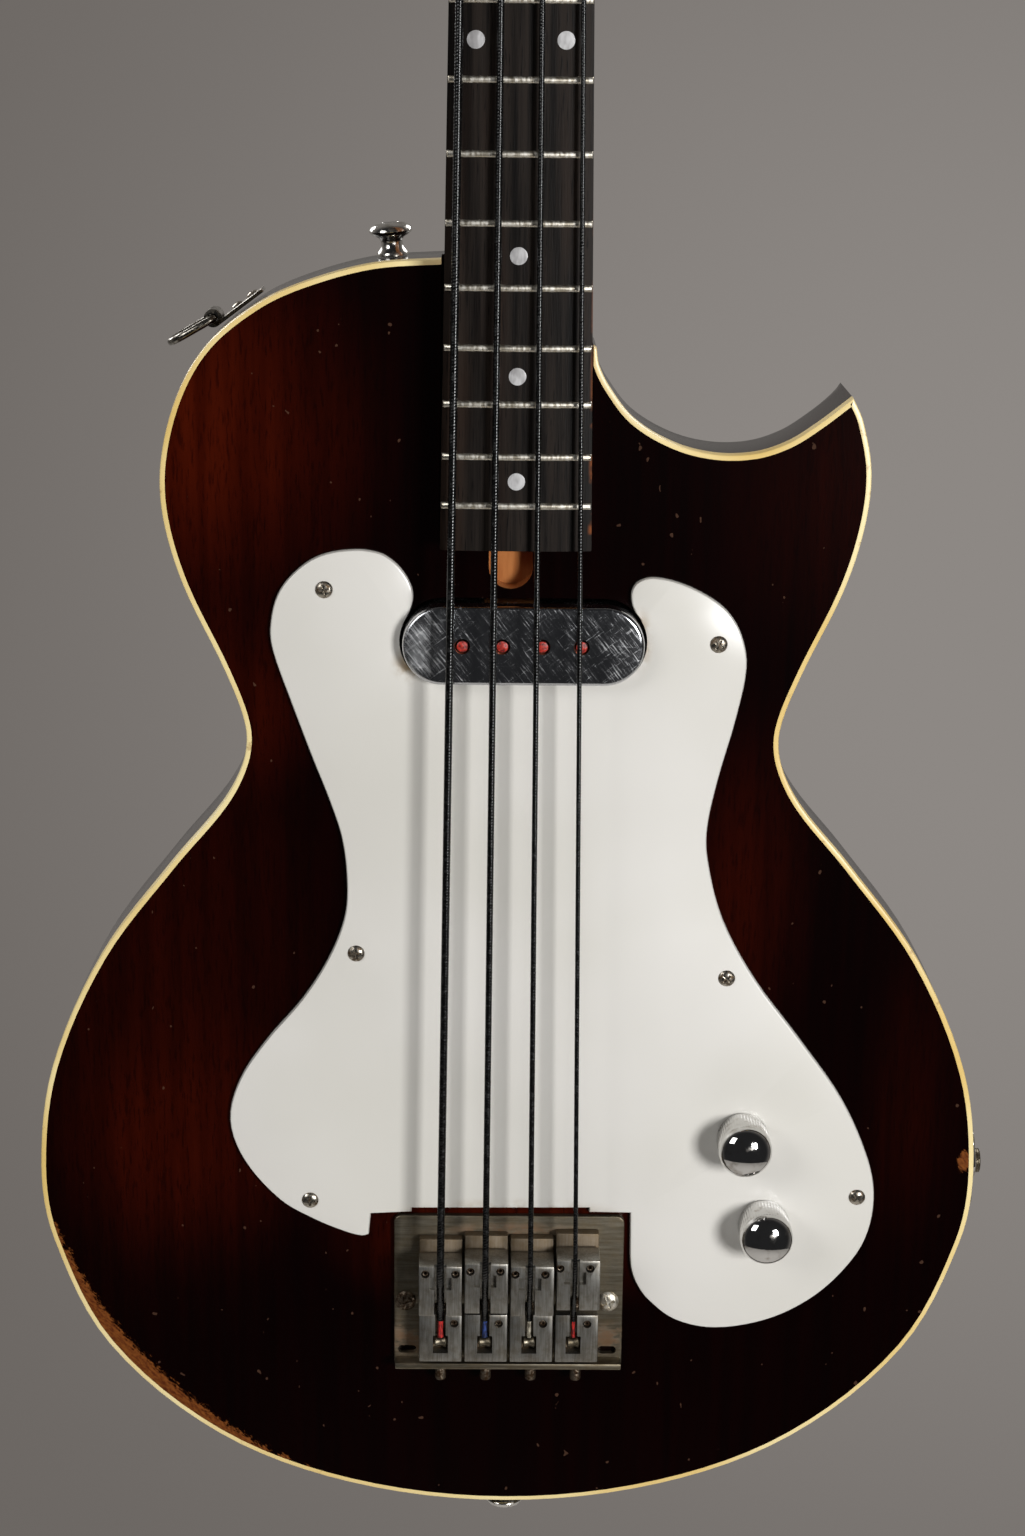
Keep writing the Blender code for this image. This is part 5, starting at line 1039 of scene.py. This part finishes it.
def wire(points, radius, sides=16, closed=False):
    """A round wire along a run of points."""
    points = [Vector(point) for point in points]
    count = len(points)
    rings, side = [], None
    for i, point in enumerate(points):
        before = points[i - 1] if closed or i else points[0]
        after = points[(i + 1) % count] if closed or i < count - 1 else points[-1]
        along = (after - before).normalized()
        side = (side - along * side.dot(along)).normalized() if side else along.orthogonal().normalized()
        other = along.cross(side)
        angles = [2 * pi * turn / sides for turn in range(sides)]
        rings.append([point + (side * cos(a) + other * sin(a)) * radius for a in angles])
    return ringed(rings, closed)


for index, name in enumerate(STRINGS):
    radius, top, node = STRING_RADII[index], SADDLE_TOPS[index], f"string_{name}"
    x, anchor_y = BRIDGE_XS[index], ANCHOR_FACE + radius
    bend = straight_string(index, top - 5.3)
    points = [Vector((x, anchor_y + 0.3, -25.4)), Vector((x, anchor_y, -22.3))]
    points += [points[-1].lerp(bend, share / 4) for share in range(1, 4)] + [bend]
    for z in (top, 120, 300, 500, 700, 865.85, 868.9):
        points.append(straight_string(index, z))
    post_x, post_z = POST_PLACES[name]
    inwards = -1 if post_x > 0 else 1
    out, pitch = 4.8 + radius, 2 * radius + 0.6
    for winding in range(61):
        angle = 2 * pi * winding / 24
        climb = -4.6 - radius - pitch * winding / 24
        on_head = (post_x + inwards * out * cos(angle), climb, post_z + out * sin(angle))
        points.append(HEAD @ Vector(on_head))
    piece_of(f"{node}_taped", wire(points, radius), tape, node, sharp=60)
    silk_run = [(x, anchor_y + 0.2, -24.6), (x, anchor_y + 0.7, -28), (x, -10.6, -32.6)]
    colour = silks[("red", "blue", "white", "red")[index]]
    piece_of(f"{node}_silk", wire(silk_run, radius * 0.85, 12), colour, node)
    ball = lathe(BALL_PROFILE, (x, -10.3, -34.75), (1, 0, 0), 24)
    piece_of(f"{node}_ball", ball, nickel, node)

# Tuners: each has a plate on the back of the head with a sleeve through the wood, a slotted post with
# a toothed gear, and a worm on a shaft with a flat key outside the head's edge.
plated, shader, spot = new_finish("plated_fittings", (198, 196, 192), 0.16, 1.0)
handled = between(noise(spot, 240, 4.0), 0.4, 0.72)
pits = between(noise(spot, 1500, 2.0), 0.66, 0.74)
metal = mixed(handled, (204, 202, 198), (150, 145, 136))
dress(shader, mixed(times(pits, 0.5), metal, (92, 80, 62)), between(handled, 0, 1, 0.12, 0.34))
relief(shader, pits, 0.1, 0.0002)
HEAD_BACK = 14.3
TUNER_BACK = 15.8
WORM_Y = 19.4
WORM_DROP = 11.6
GEAR_TEETH = 16
POST_PROFILE = [
    (1.5, 33.2), (1.5, 35.0), (4.7, 35.0), (5.5, 34.3), (5.6, 33.2), (4.6, 31.6), (4.2, 26), (4.5, 17),
    (4.5, 0), (2.2, -0.2), (2.2, -6.5), (1.9, -6.6),
]
for name, (x, z) in POST_PLACES.items():
    outwards = 1 if x > 0 else -1
    worm_z = z - WORM_DROP
    base = slab(round_rectangle(x - 11, x + 11, z - 30, z + 14, 6, 8), HEAD_BACK, TUNER_BACK, 0, 0.5)
    base = piece_of(f"tuner_{name}_plate", base, plated, f"tuner_plate_{name}", lean=HEAD)
    sleeve = lathe([(4.8, 15), (6.2, 15.1), (6.6, 14.6), (6.6, 0), (4.8, 0)], (x, HEAD_BACK, z), FRONT, 36)
    lugs = []
    for near in (x - 8.3, x + 5.8):
        lugs.append(block((near, 15.4, worm_z - 4), (near + 2.5, 23.5, worm_z + 4), 0.7))
    holes = [bore(x, z, 20, -3, 4.8, 36), round_bar((x - 12, WORM_Y, worm_z), (x + 12, WORM_Y, worm_z), 2.2)]
    slot = bar((x - 1.1, -20, z - 8), (x + 1.1, -13.5, z + 8))
    for tool in (sleeve, *lugs, *holes, slot):
        tool.transform(HEAD)
    join(base, sleeve, *lugs)
    cut(base, *holes)
    places = [(x + side, TUNER_BACK, z + up) for side in (-7.8, 7.8) for up in (-26.5, 10.5)]
    screws(f"tuner_{name}_screws", 2.1, 0.9, places, BEHIND, plated, f"tuner_plate_{name}", lean=HEAD)

    post_of = (f"tuner_post_{name}", f"post_{name}", HEAD)
    post = piece_of(f"tuner_{name}_post", lathe(POST_PROFILE, (x, 16.1, z), FRONT, 36), plated, *post_of)
    cut(post, slot)
    teeth = []
    for tooth in range(GEAR_TEETH):
        for part, reach in ((-0.36, 6.9), (-0.16, 8), (0.16, 8), (0.36, 6.9)):
            angle = 2 * pi * (tooth + part) / GEAR_TEETH
            teeth.append((x + reach * cos(angle), z + reach * sin(angle)))
    piece_of(f"tuner_{name}_gear", slab(teeth, 16.3, 22.6, 0.3, 0.3, 2), brass, *post_of)
    cap = lathe([(0.8, 0.9), (1.2, 1.4), (2.6, 1.3), (3, 0.8), (3, 0)], (x, 22.6, z), BEHIND, 24)
    piece_of(f"tuner_{name}_gear_screw", cap, steel, *post_of)

    shaft = wire([(x - outwards * 10.6, WORM_Y, worm_z), (x + outwards * 30, WORM_Y, worm_z)], 1.9, 20)
    worm = threaded((x - 5.5, WORM_Y, worm_z), (x + 5.5, WORM_Y, worm_z), 3.3, 1.8, 0.8, 28)
    collar = [(1.9, 3), (2.8, 2.6), (3.1, 1), (3.1, 0), (1.9, 0)]
    collar = lathe(collar, (x + outwards * 26.5, WORM_Y, worm_z), (outwards, 0, 0), 24)
    near, far = sorted((x + outwards * 29, x + outwards * 50))
    paddle = round_rectangle(near, far, worm_z - 9.5, worm_z + 9.5, 7, 10)
    paddle = slab(paddle, WORM_Y - 2.5, WORM_Y + 2.5, 2.2, 2.2, 4)
    key = together([shaft, worm, collar, paddle])
    piece_of(f"tuner_{name}_key", key, plated, f"tuner_key_{name}", f"key_{name}", HEAD)

# Strap buttons: two turned buttons, one on the left shoulder and one on the lower end, each held by a
# long slotted screw down its middle.
button_profile = [
    (0, 11.3), (2.6, 11.4), (2.9, 11.2), (3.1, 11.4), (5.2, 11.1), (6.6, 10.4), (7.4, 9.4), (7.6, 8.6),
    (7.3, 7.9), (6.2, 7.1), (4.6, 6.3), (3.9, 5.3), (3.8, 4.2), (4.2, 2.7), (5.1, 1.5), (5.5, 0.9),
    (5.5, 0.05), (2, 0),
]
for name, place, along in (
    ("upper", Vector((-43.6, 19, 370.3)), Vector((-0.09, 0, 1)).normalized()),
    ("end", Vector((0, 19, -109)), Vector((0, 0, -1))),
):
    button = lathe(button_profile, place, along, 40)
    button = piece_of(f"strap_button_{name}_turned", button, plated, f"strap_button_{name}")
    tip = place + along * 10.7
    cut(button, bar(tip - Vector((2.3, 0.45, 0)), tip + Vector((2.3, 0.45, 2 * along.z))))

# Strap ring: a plated bracket screwed along the left shoulder's side, and a loose wire ring that
# swings in the bracket's knuckle.
FOOT = Vector((-95.5, 19, 351.9))
ALONG = Vector((-0.8, 0, -0.6))
OUT = Vector((-0.6, 0, 0.8))
KNUCKLE = (11, 3.8)
HALF_RING, FAR_RING = 7.15, 17.65
dark_plate = mottled(
    "darkened_plate", ((120, 116, 108), 0.24, 1.0), (500, 4.0), (0.4, 0.7),
    ((142, 138, 130), (66, 56, 44)), (0.15, 0.0002), (0.18, 0.5),
)


def by_bracket(run, out, across):
    """A place by its way along the bracket, outwards from the body's side, and across the body."""
    return FOOT + ALONG * run + OUT * out + Vector((0, across, 0))


strip = []
for across, trim in ((-5, 0.3), (-4.7, 0), (4.7, 0), (5, 0.3)):
    near, low, high = -9 + trim, 0.6 + trim / 2, 2.0 - trim / 2
    run = ((near, low), (KNUCKLE[0], low), (KNUCKLE[0], high), (near, high))
    strip.append([by_bracket(along, out, across) for along, out in run])
bracket = piece_of("ring_bracket_strip", ringed(strip), dark_plate, "ring_bracket")
join(bracket, round_bar(by_bracket(*KNUCKLE, -5), by_bracket(*KNUCKLE, 5), 3.2, 32))
cut(bracket, round_bar(by_bracket(*KNUCKLE, -6), by_bracket(*KNUCKLE, 6), 1.65))
places = [by_bracket(run, 1.9, 0) for run in (-4.6, 2.0)]
screws("ring_bracket_screws", 2.4, 1.2, places, OUT, aged_steel, "ring_bracket")
swing = radians(7)
way = ALONG * cos(swing) + OUT * sin(swing)
half_loop = [(0.5, 0), (HALF_RING - 1.2, 0), (HALF_RING - 0.35, 0.35), (HALF_RING, 1.2)]
half_loop.append((HALF_RING, FAR_RING - HALF_RING))
loop = list(half_loop)
for turn in range(1, 14):
    angle = pi * turn / 14
    loop.append((HALF_RING * cos(angle), FAR_RING - HALF_RING + HALF_RING * sin(angle)))
loop += [(-across, reach) for across, reach in reversed(half_loop)]
loop = [by_bracket(*KNUCKLE, across) + way * reach for across, reach in loop]
piece_of("strap_ring_wire", wire(loop, 1.35, 16, True), dark_plate, "strap_ring", "ring", sharp=60)

# Output jack: a plate with round corners on a flat at the lower right side, with two screws. The
# jack's threaded bushing comes through it and is held by a thin six-sided nut.
PLATE_SIDE = 177.6
RIGHT = (1, 0, 0)


def along_jack(near, far, radius):
    return round_bar((near, JACK_Y, JACK_Z), (far, JACK_Y, JACK_Z), radius, 32)


ACROSS = Matrix(((0, 1, 0, 0), (1, 0, 0, 0), (0, 0, 1, 0), (0, 0, 0, 1)))
jack_plate = slab(round_rectangle(9, 34, 11.5, 42.5, 5, 8), -PLATE_SIDE, -175.1, 0.6)
jack_plate.transform(ACROSS @ Matrix.Diagonal((1, -1, 1, 1)))
jack_plate = piece_of("jack_plate_sheet", jack_plate, plated, "jack_plate")
cut(jack_plate, along_jack(170, 180, 5))
places = [(PLATE_SIDE, JACK_Y, JACK_Z + up) for up in (-12.3, 12.3)]
screws("jack_plate_screws", 3, 1.3, places, RIGHT, aged_steel, "jack_plate")
jack_profile = [
    (3.3, 4.1), (4.3, 4.15), (4.7, 3.9), (4.5, 3.5), (4.7, 3.1), (4.5, 2.7), (4.7, 2.4), (4.7, -2.8),
    (8.5, -2.9), (8.5, -6), (7.6, -6.4), (7.6, -25.6), (7.2, -26), (3.3, -26),
]
nut_profile = [(4.9, 2.2), (6.0, 2.2), (6.6, 1.7), (6.6, 0.5), (6.0, 0.05), (4.9, 0.05)]
jack_place = (PLATE_SIDE, JACK_Y, JACK_Z)
jack = piece_of("jack_body", lathe(jack_profile, jack_place, RIGHT, 36), nickel, "output_jack")
cut(jack, along_jack(150, 185, 3.3))
jack_nut = piece_of("jack_nut", lathe(nut_profile, jack_place, RIGHT, 6), plated, "output_jack")
cut(jack_nut, along_jack(174, 184, 4.85))

# Inner pieces: the coil, its foam, the pots with their shafts, the capacitor and the leads keep their
# CAD form, and each gets its own finish.
enamel, shader, spot = new_finish("enamelled_copper_coil", (120, 54, 24), 0.35, 0.6)
waves = {"Vector": spot, "Scale": 700.0, "Distortion": 2.0}
windings = step(spot, "TexWave", waves, bands_direction="Y").outputs["Fac"]
dress(shader, mixed(windings, (142, 68, 32), (74, 28, 12)))
relief(shader, windings, 0.4, 0.0003)
foam, shader, spot = new_finish("grey_foam", (84, 84, 86), 0.95)
cells = step(spot, "TexVoronoi", {"Vector": spot, "Scale": 900.0}).outputs["Distance"]
dress(shader, mixed(cells, (52, 52, 54), (104, 104, 106)))
relief(shader, cells, 0.9, 0.0005)
resin, shader, spot = new_finish("dipped_resin", (150, 92, 34), 0.3)
dip = noise(spot, 350, 3.0)
dress(shader, mixed(dip, (168, 108, 42), (120, 66, 24)))
relief(shader, dip, 0.3, 0.0004)
braid, shader, spot = new_finish("cloth_covered_lead", (44, 42, 40), 0.85)
weave = step(spot, "TexChecker", {"Vector": spot, "Scale": 1600.0}).outputs["Fac"]
weave = times(weave, noise(spot, 2200, 2.0))
dress(shader, mixed(weave, (32, 30, 29), (96, 90, 82)))
relief(shader, weave, 0.6, 0.0003)
repaint(enamel, "pickup_coil")
repaint(foam, "pickup_foam")
repaint(resin, "tone_capacitor")
repaint(braid, "wiring_harness")
repaint(steel, "volume_pot", "tone_pot")
repaint(brass, "volume_shaft", "tone_shaft")
